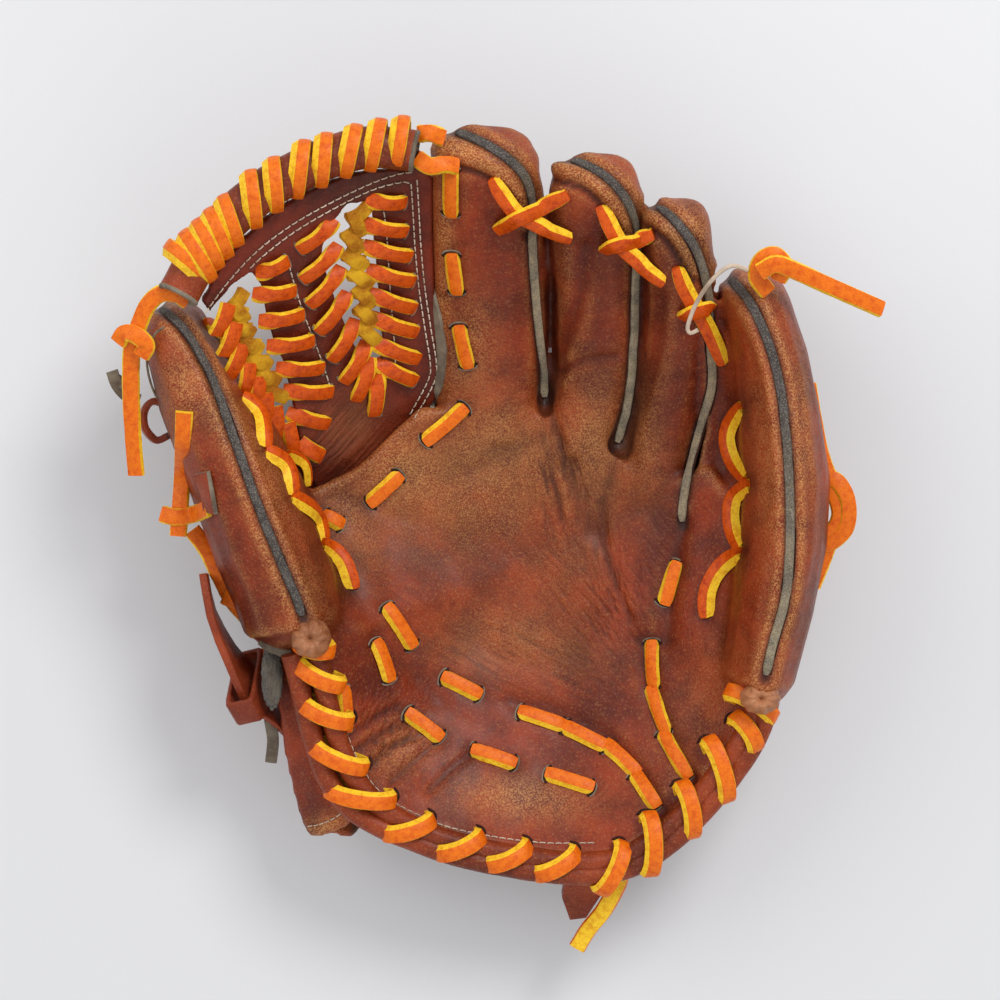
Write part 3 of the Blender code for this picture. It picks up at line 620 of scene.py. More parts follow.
def hull_above(heights):
    """The lowest taut line over a row of heights."""
    stack = []
    for index, height in enumerate(heights):
        while len(stack) > 1:
            first, second = stack[-2], stack[-1]
            rise, second_rise = height - heights[first], heights[second] - heights[first]
            if (second - first) * rise - (index - first) * second_rise < 0:
                break
            stack.pop()
        stack.append(index)
    return np.interp(range(len(heights)), stack, [heights[index] for index in stack])


def soften(values, rounds):
    values = np.array(values, float)
    for _ in range(rounds):
        values[1:-1] = (values[:-2] + 2 * values[1:-1] + values[2:]) / 4
    return values


class Build:
    """Collects many small shapes for one object."""

    def __init__(self):
        self.points, self.faces, self.slots = [], [], []

    def sweep(self, path, ups, section, slots, grow=None, caps=None):
        """Sweeps a section of (across, up) metres; slots give each side's material."""
        base = len(self.points)
        sides = len(section)
        for index, middle in enumerate(path):
            along = heading(path, index)
            up = (ups[index] - ups[index].dot(along) * along).normalized()
            across = along.cross(up)
            scale = grow[index] if grow is not None else 1.0
            for right, high in section:
                self.points.append(middle + across * right * scale + up * high * scale)
        for ring in range(len(path) - 1):
            for side in range(sides):
                after = (side + 1) % sides
                low, high = base + ring * sides, base + (ring + 1) * sides
                self.faces.append((low + side, low + after, high + after, high + side))
                self.slots.append(slots[side])
        end = slots[0] if caps is None else caps
        self.faces.append(tuple(base + side for side in range(sides))[::-1])
        self.faces.append(tuple(base + (len(path) - 1) * sides + side for side in range(sides)))
        self.slots += [end, end]

    def tube(self, path, ups, radius, sides, slot=0, grow=None):
        """Sweeps a round section."""
        turns = [2 * math.pi * side / sides for side in range(sides)]
        section = [(radius * math.cos(turn), radius * math.sin(turn)) for turn in turns]
        self.sweep(path, ups, section, (slot,) * sides, grow)

    def make(self, name, materials):
        mesh = bpy.data.meshes.new(name)
        mesh.from_pydata([tuple(point) for point in self.points], [], self.faces)
        for each in materials:
            mesh.materials.append(each)
        mesh.polygons.foreach_set("material_index", self.slots)
        mesh.validate()
        made = linked(name, mesh)
        work = bmesh.new()
        work.from_mesh(made.data)
        bmesh.ops.recalc_face_normals(work, faces=work.faces)
        work.to_mesh(made.data)
        work.free()
        made.data.set_sharp_from_angle(angle=math.radians(28))
        return made

    def finish(self, name, materials, slot, *nodes):
        return finish_piece(self.make(name, materials), slot, *nodes)


def lace_section(width, left, right):
    """A cut lace's section, its face up: points, and each side's slot. Left and right are how much of
    each cut edge shows beside the face."""
    half, rise = width / 2, LACE_THICK / 2
    section = (
        (-half * 0.92, -rise),
        (half * 0.92, -rise),
        (half, -rise * 0.6),
        (half - right * 0.85, rise * 0.72),
        (half - right, rise),
        (half - right - 0.0004, rise * 1.16),
        ((left - right) / 2, rise * 1.3),
        (left + 0.0004 - half, rise * 1.16),
        (left - half, rise),
        (left * 0.85 - half, rise * 0.72),
        (-half, -rise * 0.6),
    )
    slots = (1, 1, 1, 1, 0, 0, 0, 0, 1, 1, 1)
    return section, slots


def add_lace(build, path, ups, share=1.0, seed=0, edges=EVEN_EDGES, pinch=1.0):
    """A lace along a path, with the small unevenness of cut rawhide. Share is its part of the full
    width, and pinch is how much of that both its ends have."""
    section, slots = lace_section(LACE_WIDTH * share, *edges)
    last = len(path) - 1
    grow, turned = [], []
    for index, up in enumerate(ups):
        nearest = min(index, last - index) / max(last * 0.22, 1)
        full = pinch + (1 - pinch) * math.sin(min(nearest, 1) * math.pi / 2)
        grow.append(full * (1 + 0.03 * wave(seed * 7.3, index * 0.35, 0)))
        across = heading(path, index).cross(up)
        turned.append(up + across * 0.05 * wave(index * 0.12, seed * 3.1, 5))
    build.sweep(path, turned, section, slots, grow, caps=1)


def dipped(path, ups, depth=HOLE_DEPTH):
    """A path whose ends go down through the leather."""
    first, last = ups[0], ups[-1]
    into_first = (path[1] - path[0]).normalized()
    into_last = (path[-2] - path[-1]).normalized()
    start = [path[0] - first * depth * share + into_first * depth * 0.15 * share for share in (1.0, 0.5)]
    end = [path[-1] - last * depth * share + into_last * depth * 0.15 * share for share in (0.5, 1.0)]
    outward_first = (first - into_first * 1.2).normalized()
    outward_last = (last - into_last * 1.2).normalized()
    return start + path + end, [outward_first] * 2 + ups + [outward_last] * 2


def steady(path, rounds):
    return [Vector(point) for point in soften(path, rounds)]


def level_ups(ups):
    """Ups drawn most of the way to their mean."""
    middle = sum(ups, Vector()) / len(ups)
    return [(up * 0.35 + middle * 0.65).normalized() for up in ups]


def half_turn(middle, way, across, reach, wide):
    """Places round a half ellipse that bulges along a way."""
    turns = [math.pi * (step / 8 - 0.5) for step in range(9)]
    return [middle + way * reach * math.cos(turn) + across * wide * math.sin(turn) for turn in turns]


def add_stitches(build, path, ups):
    """Thread along a path, as short rounded stitches that rise between their holes."""
    steps = np.append(0, np.cumsum([(path[i + 1] - path[i]).length for i in range(len(path) - 1)]))
    count = max(int(steps[-1] / STITCH_PITCH), 1)

    def at(far):
        share = np.interp(far, steps, range(len(path)))
        low = min(int(share), len(path) - 2)
        return path[low].lerp(path[low + 1], share - low), ups[low]

    for index in range(count):
        rows, tops = [], []
        for part, rise in ((0.0, -0.6), (0.2, 0.5), (0.5, 0.9), (0.8, 0.5), (1.0, -0.6)):
            point, up = at((index + part * STITCH_SHARE) * steps[-1] / count)
            rows.append(point + up * THREAD_RADIUS * rise)
            tops.append(up)
        build.tube(rows, tops, THREAD_RADIUS, 6)


# Materials


class Look:
    """A procedural material's nodes, made in one line each."""

    def __init__(self, name):
        self.material = bpy.data.materials.new(name)
        self.material.use_nodes = True
        self.tree = self.material.node_tree
        self.shader = self.tree.nodes["Principled BSDF"]
        self.place = self.add("ShaderNodeTexCoord").outputs["Object"]

    def add(self, kind, **settings):
        made = self.tree.nodes.new(kind)
        for name, value in settings.items():
            setattr(made, name, value)
        return made

    def join(self, source, socket):
        if hasattr(source, "is_output"):
            self.tree.links.new(source, socket)
        else:
            socket.default_value = source

    def noise(self, scale, detail=4, rough=0.55, stretch=None, lean=0.0):
        made = self.add("ShaderNodeTexNoise")
        made.inputs["Scale"].default_value = scale
        made.inputs["Detail"].default_value = detail
        made.inputs["Roughness"].default_value = rough
        self.join(self.mapped(stretch, lean), made.inputs["Vector"])
        return made.outputs["Fac"]

    def mapped(self, stretch, lean):
        if stretch is None:
            return self.place
        made = self.add("ShaderNodeMapping")
        made.vector_type = "TEXTURE"
        made.inputs["Rotation"].default_value = (0, 0, math.radians(lean))
        made.inputs["Scale"].default_value = stretch
        self.join(self.place, made.inputs["Vector"])
        return made.outputs["Vector"]

    def cells(self, scale):
        made = self.add("ShaderNodeTexVoronoi")
        made.inputs["Scale"].default_value = scale
        self.join(self.place, made.inputs["Vector"])
        return made.outputs["Distance"]

    def ramp(self, source, low, high, to_low=0.0, to_high=1.0):
        made = self.add("ShaderNodeMapRange", interpolation_type="SMOOTHSTEP")
        self.join(source, made.inputs["Value"])
        sockets = ("From Min", "From Max", "To Min", "To Max")
        for socket, value in zip(sockets, (low, high, to_low, to_high)):
            made.inputs[socket].default_value = value
        return made.outputs["Result"]

    def math(self, operation, first, second):
        made = self.add("ShaderNodeMath", operation=operation)
        self.join(first, made.inputs[0])
        self.join(second, made.inputs[1])
        return made.outputs[0]

    def times(self, first, second):
        return self.math("MULTIPLY", first, second)

    def mix(self, share, first, second):
        made = self.add("ShaderNodeMix", data_type="RGBA")
        self.join(share, made.inputs["Factor"])
        self.join(first, made.inputs["A"])
        self.join(second, made.inputs["B"])
        return made.outputs["Result"]

    def attribute(self, name):
        return self.add("ShaderNodeAttribute", attribute_name=name).outputs["Fac"]

    def bump(self, height, distance, strength=1.0, after=None):
        made = self.add("ShaderNodeBump")
        made.inputs["Distance"].default_value = distance
        made.inputs["Strength"].default_value = strength
        self.join(height, made.inputs["Height"])
        if after is not None:
            self.join(after, made.inputs["Normal"])
        return made.outputs["Normal"]

    def finish(self, colour, rough, normal=None, coat=0.0, sheen=0.0, specular=0.2):
        self.join(colour, self.shader.inputs["Base Color"])
        self.join(rough, self.shader.inputs["Roughness"])
        if normal is not None:
            self.join(normal, self.shader.inputs["Normal"])
        self.shader.inputs["Specular IOR Level"].default_value = specular
        self.shader.inputs["Coat Weight"].default_value = coat
        self.shader.inputs["Coat Roughness"].default_value = 0.32
        self.shader.inputs["Sheen Weight"].default_value = sheen
        return self.material


# Fine folds: their attribute, how far they are drawn out, and their lean in degrees
FOLD_GRAINS = (
    ("fold_a", 9, 12),
    ("fold_b", 9, 40),
    ("fold_c", 9, 62),
    ("fold_d", 14, -42),
)


def leather(name, base, deep, light, wear_and_highlight=True):
    """Oiled leather: mottled, with pores, lightened by wear and painted highlight, with painted shade."""
    look = Look(name)
    mottle = look.ramp(look.noise(38, 6, 0.62), 0.32, 0.68)
    colour = look.mix(mottle, deep, base)
    fine = look.ramp(look.noise(1100, 3, 0.75), 0.54, 0.64)
    colour = look.mix(look.times(fine, 0.20), colour, light)
    spots = look.ramp(look.noise(420, 4, 0.7), 0.56, 0.68)
    colour = look.mix(look.times(spots, 0.45), colour, deep)
    worn = 0.0
    if wear_and_highlight:
        # Wear, with a few painted highlights among it
        worn = look.attribute("wear_and_highlight")
        speckle = look.ramp(look.noise(1500, 2, 0.8), 0.47, 0.58)
        blotch = look.ramp(look.noise(150, 5, 0.6), 0.30, 0.66)
        mixed = look.math("ADD", look.times(speckle, 0.80), look.times(blotch, 0.20))
        share = look.times(worn, mixed)
        colour = look.mix(look.math("MINIMUM", share, 1.0), colour, light)
        pocket = look.attribute("pocket")
        pale = look.times(pocket, look.ramp(look.noise(90, 6, 0.6), 0.2, 0.8))
        colour = look.mix(pale, colour, POCKET)
        dust = look.times(pocket, look.ramp(look.noise(1700, 2, 0.8), 0.50, 0.60, 0, 0.5))
        colour = look.mix(dust, colour, light)
        colour = look.mix(look.attribute("inside"), colour, LINING)
        # Painted shade in the hollows and under the shade patches
        colour = look.mix(look.times(look.attribute("hollow"), 0.68), colour, PAINTED_SHADE_BROWN)
        # Painted shade along pressed lines, steps and welts
        colour = look.mix(look.times(look.attribute("line_shade"), 0.85), colour, LINE_SHADE_BROWN)
    pores = look.math("ADD", look.times(look.cells(1500), 0.6), look.noise(900, 5, 0.65))
    normal = look.bump(pores, 0.00030, 0.75)
    normal = look.bump(look.noise(230, 4, 0.6), 0.0006, 0.5, normal)
    if wear_and_highlight:
        creases = 0.0
        for attribute, stretch, lean in FOLD_GRAINS:
            lines = look.noise(480, 1, 0.4, (1, stretch, 1), lean)
            height = look.times(look.ramp(lines, 0.38, 0.62), look.attribute(attribute))
            normal = look.bump(height, 0.0009, 0.6, normal)
            line = look.times(look.ramp(lines, 0.46, 0.34), look.attribute(attribute))
            creases = look.math("MAXIMUM", line, creases)
        # Painted shade in the fine creases
        colour = look.mix(look.times(creases, 0.55), colour, PAINTED_SHADE_BROWN)
    rough = look.ramp(look.noise(300, 4, 0.6), 0.3, 0.7, 0.36, 0.56)
    if wear_and_highlight:
        rough = look.math("ADD", rough, look.times(worn, 0.14))
    return look.finish(colour, rough, normal, coat=0.14)


def lace_material(name, face, deep, rough=0.42):
    look = Look(name)
    colour = look.mix(look.ramp(look.noise(420, 4, 0.6), 0.22, 0.60), deep, face)
    grain = look.noise(1700, 3, 0.75)
    colour = look.mix(look.ramp(grain, 0.52, 0.62, 0, 0.7), colour, deep)
    normal = look.bump(grain, 0.00025, 0.7)
    normal = look.bump(look.noise(260, 3), 0.0005, 0.4, normal)
    return look.finish(colour, rough, normal, coat=0.10)


def fibre_material(name, light, dark, scale=900, rough=0.8, sheen=0.0, depth=0.0004):
    look = Look(name)
    patchy = look.noise(90, 4, 0.6)
    colour = look.mix(look.ramp(patchy, 0.35, 0.65), dark, light)
    grain = look.noise(scale, 5, 0.8)
    colour = look.mix(look.ramp(grain, 0.45, 0.7, 0, 0.5), colour, light)
    return look.finish(colour, rough, look.bump(grain, depth, 0.9), sheen=sheen)


def welt_material():
    look = Look("welt_fibre")
    colour = look.mix(look.ramp(look.noise(160, 4, 0.6), 0.3, 0.7), srgb(118, 108, 92), WELT_GREY)
    dark = look.mix(look.ramp(look.noise(200, 4, 0.6), 0.3, 0.7), srgb(62, 56, 54), WELT_DARK)
    colour = look.mix(look.math("MINIMUM", look.times(look.attribute("tip"), 1.6), 1.0), colour, dark)
    grain = look.noise(1900, 3, 0.8)
    colour = look.mix(look.ramp(grain, 0.52, 0.62, 0, 0.55), colour, srgb(58, 48, 42))
    colour = look.mix(look.ramp(grain, 0.48, 0.38, 0, 0.35), colour, srgb(186, 176, 156))
    return look.finish(colour, 0.85, look.bump(grain, 0.0003, 0.8))


def floor_material():
    look = Look("floor_paper")
    tone = look.ramp(look.noise(2.2, 3, 0.5), 0.2, 0.8)
    colour = look.mix(tone, srgb(216, 216, 218), FLOOR)
    return look.finish(colour, 0.75, look.bump(look.noise(700, 2), 0.0001, 0.25))


# The shell


def seen_share(made, points, normals):
    """1 where a vertex is in the camera's sight."""
    graph = bpy.context.evaluated_depsgraph_get()
    tree = BVHTree.FromObject(made, graph)
    shares = np.zeros(len(points))
    for index, point in enumerate(points):
        target = Vector(point)
        way = target - EYE
        far = way.length
        way.normalize()
        if normals[index] @ np.array(way) > 0.2:
            continue
        hit = tree.ray_cast(EYE, way, far - 0.0012)
        shares[index] = hit[0] is None
    return shares


# Ridges beside each welt: distance from it and half width in pixels, their height, and the pixel
# row at which each finger's ridge has faded out
RIDGE_OFF = 10.0
RIDGE_HALF = 5.5
RIDGE_RISE = 0.0012
RIDGE_ENDS = {"index_welt": 235, "middle_welt": 250, "ring_welt": 280}
TIP_RIDGES = (
    ((436, 148), (467, 156), (494, 169), (511, 184), (520, 202), (526, 224)),
    ((551, 164), (578, 174), (600, 187), (615, 204), (625, 222), (630, 244)),
    ((648, 211), (672, 229), (687, 249), (697, 270)),
)
TIP_STEPS = (
    ((438, 166), (466, 170), (489, 178), (506, 195), (516, 213), (527, 240)),
    ((553, 180), (582, 188), (603, 207), (616, 226), (628, 254)),
    ((650, 228), (667, 241), (681, 262), (692, 280)),
)
GROOVES = (
    # rows of pixels, half width in pixels, depth
    (((441, 380), (425, 410), (402, 432), (372, 462), (345, 480), (314, 494)), 5.0, -0.0008),
    (((545, 402), (552, 425), (566, 455), (580, 490), (592, 530)), 9.0, 0.0012),
    (((616, 447), (612, 470), (604, 498), (600, 540)), 9.0, 0.0012),
    (((682, 527), (676, 548), (668, 600), (664, 640)), 10.0, 0.0018),
    (((585, 250), (578, 300), (560, 350), (552, 390)), 10.0, 0.0015),
    (((660, 300), (655, 350), (640, 400), (622, 440)), 10.0, 0.0015),
    (((560, 372), (585, 362), (615, 358)), 6.0, 0.0010),
    (((470, 470), (510, 452), (540, 440)), 10.0, 0.0008),
    (((352, 588), (372, 620), (398, 660), (440, 700)), 12.0, 0.0012),
    (((690, 778), (672, 800), (655, 812)), 8.0, 0.0012),
    (((512, 700), (560, 712), (610, 738), (642, 776), (660, 812)), 9.0, 0.0014),
    (((640, 640), (648, 690), (664, 738), (690, 780)), 9.0, 0.0014),
    (((345, 740), (372, 720), (398, 706)), 4.5, 0.0009),
    (((352, 752), (384, 732), (410, 722)), 4.5, 0.0009),
    (((368, 768), (396, 744), (420, 735)), 4.5, 0.0009),
    (((392, 782), (420, 756), (436, 742)), 4.5, 0.0008),
    (((430, 790), (452, 768), (474, 752)), 4.5, 0.0007),
    (((536, 420), (548, 452), (556, 490), (560, 520)), 4.0, 0.0007),
    (((552, 418), (562, 450), (572, 488), (578, 520)), 4.0, 0.0007),
    (((600, 502), (604, 540), (614, 580), (630, 620)), 4.5, 0.0008),
)
# Worn places, and three painted highlights
WEAR_AND_HIGHLIGHT_PATCHES = (
    # px, py, wide, high, lean, strength
    (470, 145, 42, 16, 28, 0.95),
    (520, 170, 14, 30, -30, 0.9),
    (592, 168, 42, 16, 30, 0.9),
    (625, 205, 13, 26, -30, 0.85),
    (685, 220, 36, 15, 40, 0.9),
    (742, 285, 18, 28, -20, 0.7),
    (444, 260, 10, 110, 0, 0.8),
    (470, 345, 26, 46, 0, 0.65),
    (500, 440, 70, 44, 0, 0.6),
    (400, 470, 50, 46, -40, 0.85),
    (350, 520, 24, 46, -30, 0.6),
    (590, 440, 34, 60, 0, 0.6),
    (640, 440, 24, 60, -10, 0.5),
    (210, 380, 22, 70, -22, 0.7),
    (262, 470, 26, 90, -20, 0.55),
    (300, 590, 26, 40, -20, 0.5),
    (776, 480, 22, 140, -4, 0.55),
    (806, 430, 8, 90, -6, 0.6),
    (520, 640, 80, 40, 10, 0.30),
    # The next three are painted highlights: on the heel pad, the heel's left and the thumb's top
    (520, 798, 66, 22, 4, 0.7),
    (400, 752, 40, 24, -30, 0.5),
    (185, 388, 20, 36, -20, 0.7),
    (720, 690, 40, 60, 20, 0.25),
    (170, 400, 12, 60, -12, 0.4),
)
POCKET_PATCHES = (
    (480, 490, 95, 62, -12, 0.95),
    (560, 560, 50, 60, 0, 0.45),
    (610, 470, 36, 70, 0, 0.45),
    (450, 395, 50, 26, 0, 0.5),
    (360, 560, 30, 40, -20, 0.35),
    (520, 640, 70, 26, 8, 0.5),
    (470, 655, 50, 22, 12, 0.4),
)
# Where the fine folds show: bumps, with painted shade in their creases
FOLD_PATCHES = {
    "fold_a": ((556, 480, 34, 58, 0, 1.0), (604, 560, 20, 60, -10, 0.7), (690, 600, 12, 60, 0, 0.3)),
    "fold_b": ((600, 610, 50, 46, 0, 0.9), (650, 560, 26, 60, 0, 0.6), (545, 560, 40, 30, 0, 0.6)),
    "fold_c": ((520, 660, 90, 34, 10, 0.8), (590, 690, 50, 24, 10, 0.6), (400, 590, 30, 40, 0, 0.4)),
    "fold_d": ((392, 730, 46, 40, 0, 1.0), (450, 770, 50, 30, 0, 0.7), (560, 790, 70, 24, 0, 0.35)),
}
# Where the leather is darker at large
SHADE_PATCHES = (
    # px, py, wide, high, lean, strength
    (662, 375, 22, 60, 0, 0.45),
    (492, 290, 26, 90, 0, 0.22),
    (548, 300, 10, 90, 0, 0.45),
    (640, 470, 14, 50, 0, 0.20),
    (350, 560, 16, 60, -28, 0.35),
    (665, 520, 22, 110, 8, 0.40),
    (600, 300, 22, 60, 5, 0.35),
    (520, 300, 14, 110, 0, 0.25),
    (660, 330, 16, 90, 5, 0.30),
    (572, 345, 30, 26, 0, 0.35),
    (340, 600, 30, 50, -20, 0.25),
    (600, 640, 60, 40, 0, 0.18),
)
# How lines press into the shell: points along them, depth, half width in pixels, and how dark their
# painted shade is over which half width
STEP_PRESS = (24, 0.0009, 3.2, 0.75, 3.4)
STITCH_PRESS = (6, 0.0007, 9, 0.45, 10.5)
ARC_PRESS = (8, 0.0006, 8, 0.4, 9)
# The hand's cavity and how far its lining reaches, in metres
CAVITY_MIDDLE = np.array((0.015, -0.03, 0.014))
LINING_MIDDLE = np.array((0.015, -0.04, 0.02))
LINING_REACH = np.array((0.085, 0.085, 0.06))


def hollows(made, rounds, full):
    """How hollow and how raised each point is against its surroundings, from 0 to 1."""
    points, normals, edges = surface(made)
    rise = ((points - spread(points, edges, rounds)) * normals).sum(1) / full
    return (-rise - 0.1).clip(0, 1), (rise - 0.2).clip(0, 1)


def build_shell(material):
    """The palm and the five stalls as one skin."""
    made = remeshed(
        "glove_shell", SHELL_NODES, SHELL_VOXEL, SHELL_SWELL, [material], SHELL_SLABS, SHELL_KNUCKLES
    )
    relax(made, 26)
    points, normals, edges = surface(made)
    spots = pixels_of(points)
    shown = spread(seen_share(made, points, normals), edges, 3)

    push = np.zeros(len(points))
    line_shade = np.zeros(len(points))
    wear_and_highlight = np.zeros(len(points))
    for name, rows in WELTS.items():
        far = line_distance(spots, rows)
        fade = ((RIDGE_ENDS.get(name, 2 * VIEW_PIXELS) - spots[:, 1]) / 40).clip(0, 1)
        push -= 0.0008 * bell(far, 5.0)
        push += fade * RIDGE_RISE * bell(far - RIDGE_OFF, RIDGE_HALF)
        # Painted shade beside each welt
        line_shade = np.maximum(line_shade, 0.95 * bell(far - 2.5, 4.0))
        wear_and_highlight = np.maximum(wear_and_highlight, fade * 0.72 * bell(far - RIDGE_OFF, RIDGE_HALF * 1.1))
    for rows in TIP_RIDGES:
        far = line_distance(spots, rows)
        push += 0.0014 * bell(far, 8, 4)
        wear_and_highlight = np.maximum(wear_and_highlight, 0.95 * bell(far, 9, 4))
    lines = [(rows, *STEP_PRESS) for rows in TIP_STEPS]
    for rows, half, depth in GROOVES:
        lines.append((rows, 24, depth, half, 0.28 * min(abs(depth) / 0.002, 1), half))
    lines += [(rows, *STITCH_PRESS) for rows in PALM_STITCHES]
    lines += [(rows, *ARC_PRESS) for rows in EDGE_ARCS]
    for line in lines:
        press(spots, push, line_shade, *line)
    wear_and_highlight = np.maximum(wear_and_highlight, painted(spots, WEAR_AND_HIGHLIGHT_PATCHES))
    push += 0.0006 * np.array([noise.noise(Vector(point) * 45) for point in points])
    points = points + normals * (push * shown)[:, None]
    set_points(made, points)
    relax(made, 1)

    cavity = CAVITY_MIDDLE - points
    cavity /= np.linalg.norm(cavity, axis=1)[:, None]
    inward = ((normals * cavity).sum(1) - 0.15).clip(0, 0.25) * 4
    near_cavity = bell(np.linalg.norm((points - LINING_MIDDLE) / LINING_REACH, axis=1), 1, 6)
    values = {
        "wear_and_highlight": wear_and_highlight * (0.35 + 0.65 * shown),
        "line_shade": line_shade * shown,
        "pocket": painted(spots, POCKET_PATCHES) * shown,
        "inside": spread(inward * near_cavity * (1 - shown), edges, 2),
    }
    hollow, ridge = hollows(made, 60, 0.0022)
    fine_hollow, fine_ridge = hollows(made, 8, 0.00035)
    # Painted shade in the skin's hollows and under the shade patches
    hollow = np.maximum(hollow, 0.7 * fine_hollow) * shown
    values["hollow"] = hollow + painted(spots, SHADE_PATCHES)
    values["wear_and_highlight"] = np.maximum(values["wear_and_highlight"], 0.6 * np.maximum(ridge * 0.6, fine_ridge) * shown)
    for name, patches in FOLD_PATCHES.items():
        values[name] = painted(spots, patches) * shown
    set_values(made, values)
    finish_piece(made, "shell_leather", *SHELL_NODES)
    return made


WRIST_RIM = 0.056  # the height of the wrist's rim
SKIRT_EDGE = 352  # the pixel column where the wrist's left skirt ends
SKIRT_CORNER = (326, 828, 30, 13, -20)  # its worn corner: px, py, wide, high and lean


def build_back(material):
    """The back panel and its bound lower corners."""
    made = remeshed("back_skin", ("back_panel",), PANEL_VOXEL, 0.0001, [material], BACK_SLABS)
    relax(made, 30)
    points, normals, edges = surface(made)
    points[:, 2] = points[:, 2].clip(0.0, None)
    uneven = np.array([noise.noise(Vector(point) * 40) for point in points])
    points = points + normals * (0.0005 * uneven)[:, None]
    points[:, 2] = points[:, 2].clip(0.0, None)
    set_points(made, points)
    spots = pixels_of(points)
    inside = (normals[:, 2] > 0.25) & (points[:, 2] < WRIST_RIM - 0.001)
    rim = bell(points[:, 2] - WRIST_RIM, 0.004)
    beyond = spots[:, 0] > SKIRT_EDGE
    values = {
        "wear_and_highlight": np.maximum(0.5 * rim * beyond, 0.9 * patch(spots, *SKIRT_CORNER)),
        "inside": spread((inside & beyond).astype(float), edges, 2),
        # Painted shade in the back's hollows
        "hollow": hollows(made, 20, 0.0015)[0],
    }
    set_values(made, values)
    return finish_piece(made, "shell_leather", "back_panel")


def build_welts(ground, grey, dark):
    """Each welt is a folded strip of suede, darker at the finger's tip."""
    half, rise = WELT_WIDTH / 2, 0.0009
    section = (
        (-half, -rise),
        (half, -rise),
        (half, rise * 0.5),
        (half * 0.78, rise),
        (0, rise * 1.25),
        (-half * 0.78, rise),
        (-half, rise * 0.5),
    )
    for name, rows in WELTS.items():
        count = 110
        path, ups = ground.path(rows, count, 0.0006, clip=True)
        grow = []
        for index in range(count):
            end = min(1.0, 0.6 + min(index, count - 1 - index) / 5)
            grow.append(end * (1 + 0.07 * wave(index * 0.3, len(name), 1)))
        build = Build()
        build.sweep(path, ups, section, (0,) * 7, grow)
        reach = count * WELT_DARK_SHARE[name]
        shade = [max(0.0, 1 - index / reach) for index in range(count) for _ in section]
        for side in (-1, 1):
            seam = []
            for index, point in enumerate(path):
                across = heading(path, index).cross(ups[index]).normalized()
                seam.append(point + across * side * (half + 0.0002) - ups[index] * 0.0006)
            build.tube(seam, ups, 0.00045, 6, 1, grow)
        made = build.make(name + "_piping", [grey, dark])
        shade += [0.0] * (len(made.data.vertices) - len(shade))
        made.data.attributes.new("tip", "FLOAT", "POINT").data.foreach_set("value", shade)
        finish_piece(made, "welt", name)


def build_palm_stitches(ground, laces, grey, dark):
    build = Build()
    holes = Build()
    for index, rows in enumerate(PALM_STITCHES):
        path, ups = ground.path(rows, 14, LACE_THICK * 0.45)
        arch = [0.0005 * math.sin(math.pi * step / 13) for step in range(14)]
        path = [point + up * rise for point, up, rise in zip(path, ups, arch)]
        path, ups = dipped(path, ups)
        add_lace(build, path, ups, 0.90, index, (0.0004, 0.0013), 0.55)
        for end, into in ((2, 3), (-3, -4)):
            way = (path[end] - path[into]).normalized()
            up = ups[end]
            arc = half_turn(path[end] - up * LACE_THICK * 0.35, way, way.cross(up), 0.0016, 0.0036)
            holes.tube(arc, [up] * 9, 0.0004, 6)
            # A dark slot of painted shade in each hole
            slot = [point - way * 0.0009 - up * 0.0001 for point in arc]
            holes.tube(slot, [up] * 9, 0.0007, 6, 1)
    # A dark crescent of painted shade where each heel wrap goes into the leather
    for outer, inner in HEEL_WRAPS[2:14]:
        away = np.array(inner, float) - np.array(outer, float)
        away /= np.linalg.norm(away)
        side = np.array((-away[1], away[0]))
        spot = np.array(inner) + away * 1.5
        rows = [spot - side * 9 - away * 2, spot + away * 2, spot + side * 9 - away * 2]
        path, ups = ground.path(rows, 9, 0.0001)
        holes.tube(path, ups, 0.0009, 6, 1, [0.2, 0.6, 0.9, 1, 1, 1, 0.9, 0.6, 0.2])
    build.finish("palm_stitch_laces", laces, "rawhide")
    holes.finish("stitch_hole_rims_and_shade", [grey, dark], "welt")


def build_edge_arcs(ground, laces):
    """Laces seen partly on their edge, so their face leans away from the welt."""
    build = Build()
    for index, rows in enumerate(EDGE_ARCS + SMALL_ARCS):
        small = rows in SMALL_ARCS
        path, ups = ground.path(rows, 18, 0.0008)
        leaned = []
        side = 1 if rows[0][0] < VIEW_PIXELS / 2 else -1
        for step, up in enumerate(ups):
            leaned.append((up + Vector((side * 0.15, 0, 0.6))).normalized())
            path[step] = path[step] + up * 0.0014 * math.sin(math.pi * step / 17)
        path, leaned = dipped(steady(path, 3), level_ups(leaned), 0.003)
        edges = (0.0004, 0.0028) if side > 0 else (0.0028, 0.0004)
        add_lace(build, path, leaned, 0.75 if small else 1.0, 40 + index, edges, 0.4)
    build.finish("edge_laces", laces, "rawhide")


def build_cross_laces(ground, laces):
    for name, pair in CROSS_LACES.items():
        build = Build()
        under = None
        for index, rows in enumerate(pair):
            path, ups = ground.path(rows, 30, LACE_THICK * 0.55, bridge=True)
            if under:
                need = [0.0] * 30
                for step, point in enumerate(path):
                    near = min(under, key=lambda other: (other.xy - point.xy).length)
                    if (near.xy - point.xy).length < LACE_WIDTH * 0.62:
                        need[step] = max(near.z + LACE_THICK * 1.25 - point.z, 0)
                need = soften(np.maximum(soften(need, 8), need), 3)
                path = [point + Vector((0, 0, rise)) for point, rise in zip(path, need)]
            under = path
            path, ups = dipped(steady(path, 6), level_ups(ups))
            edges = (0.0004, 0.0006) if index else (0.0021, 0.0003)
            add_lace(build, path, ups, 0.92, 60 + index, edges, 0.6)
        build.finish(name + "_cross", laces, "rawhide", name)


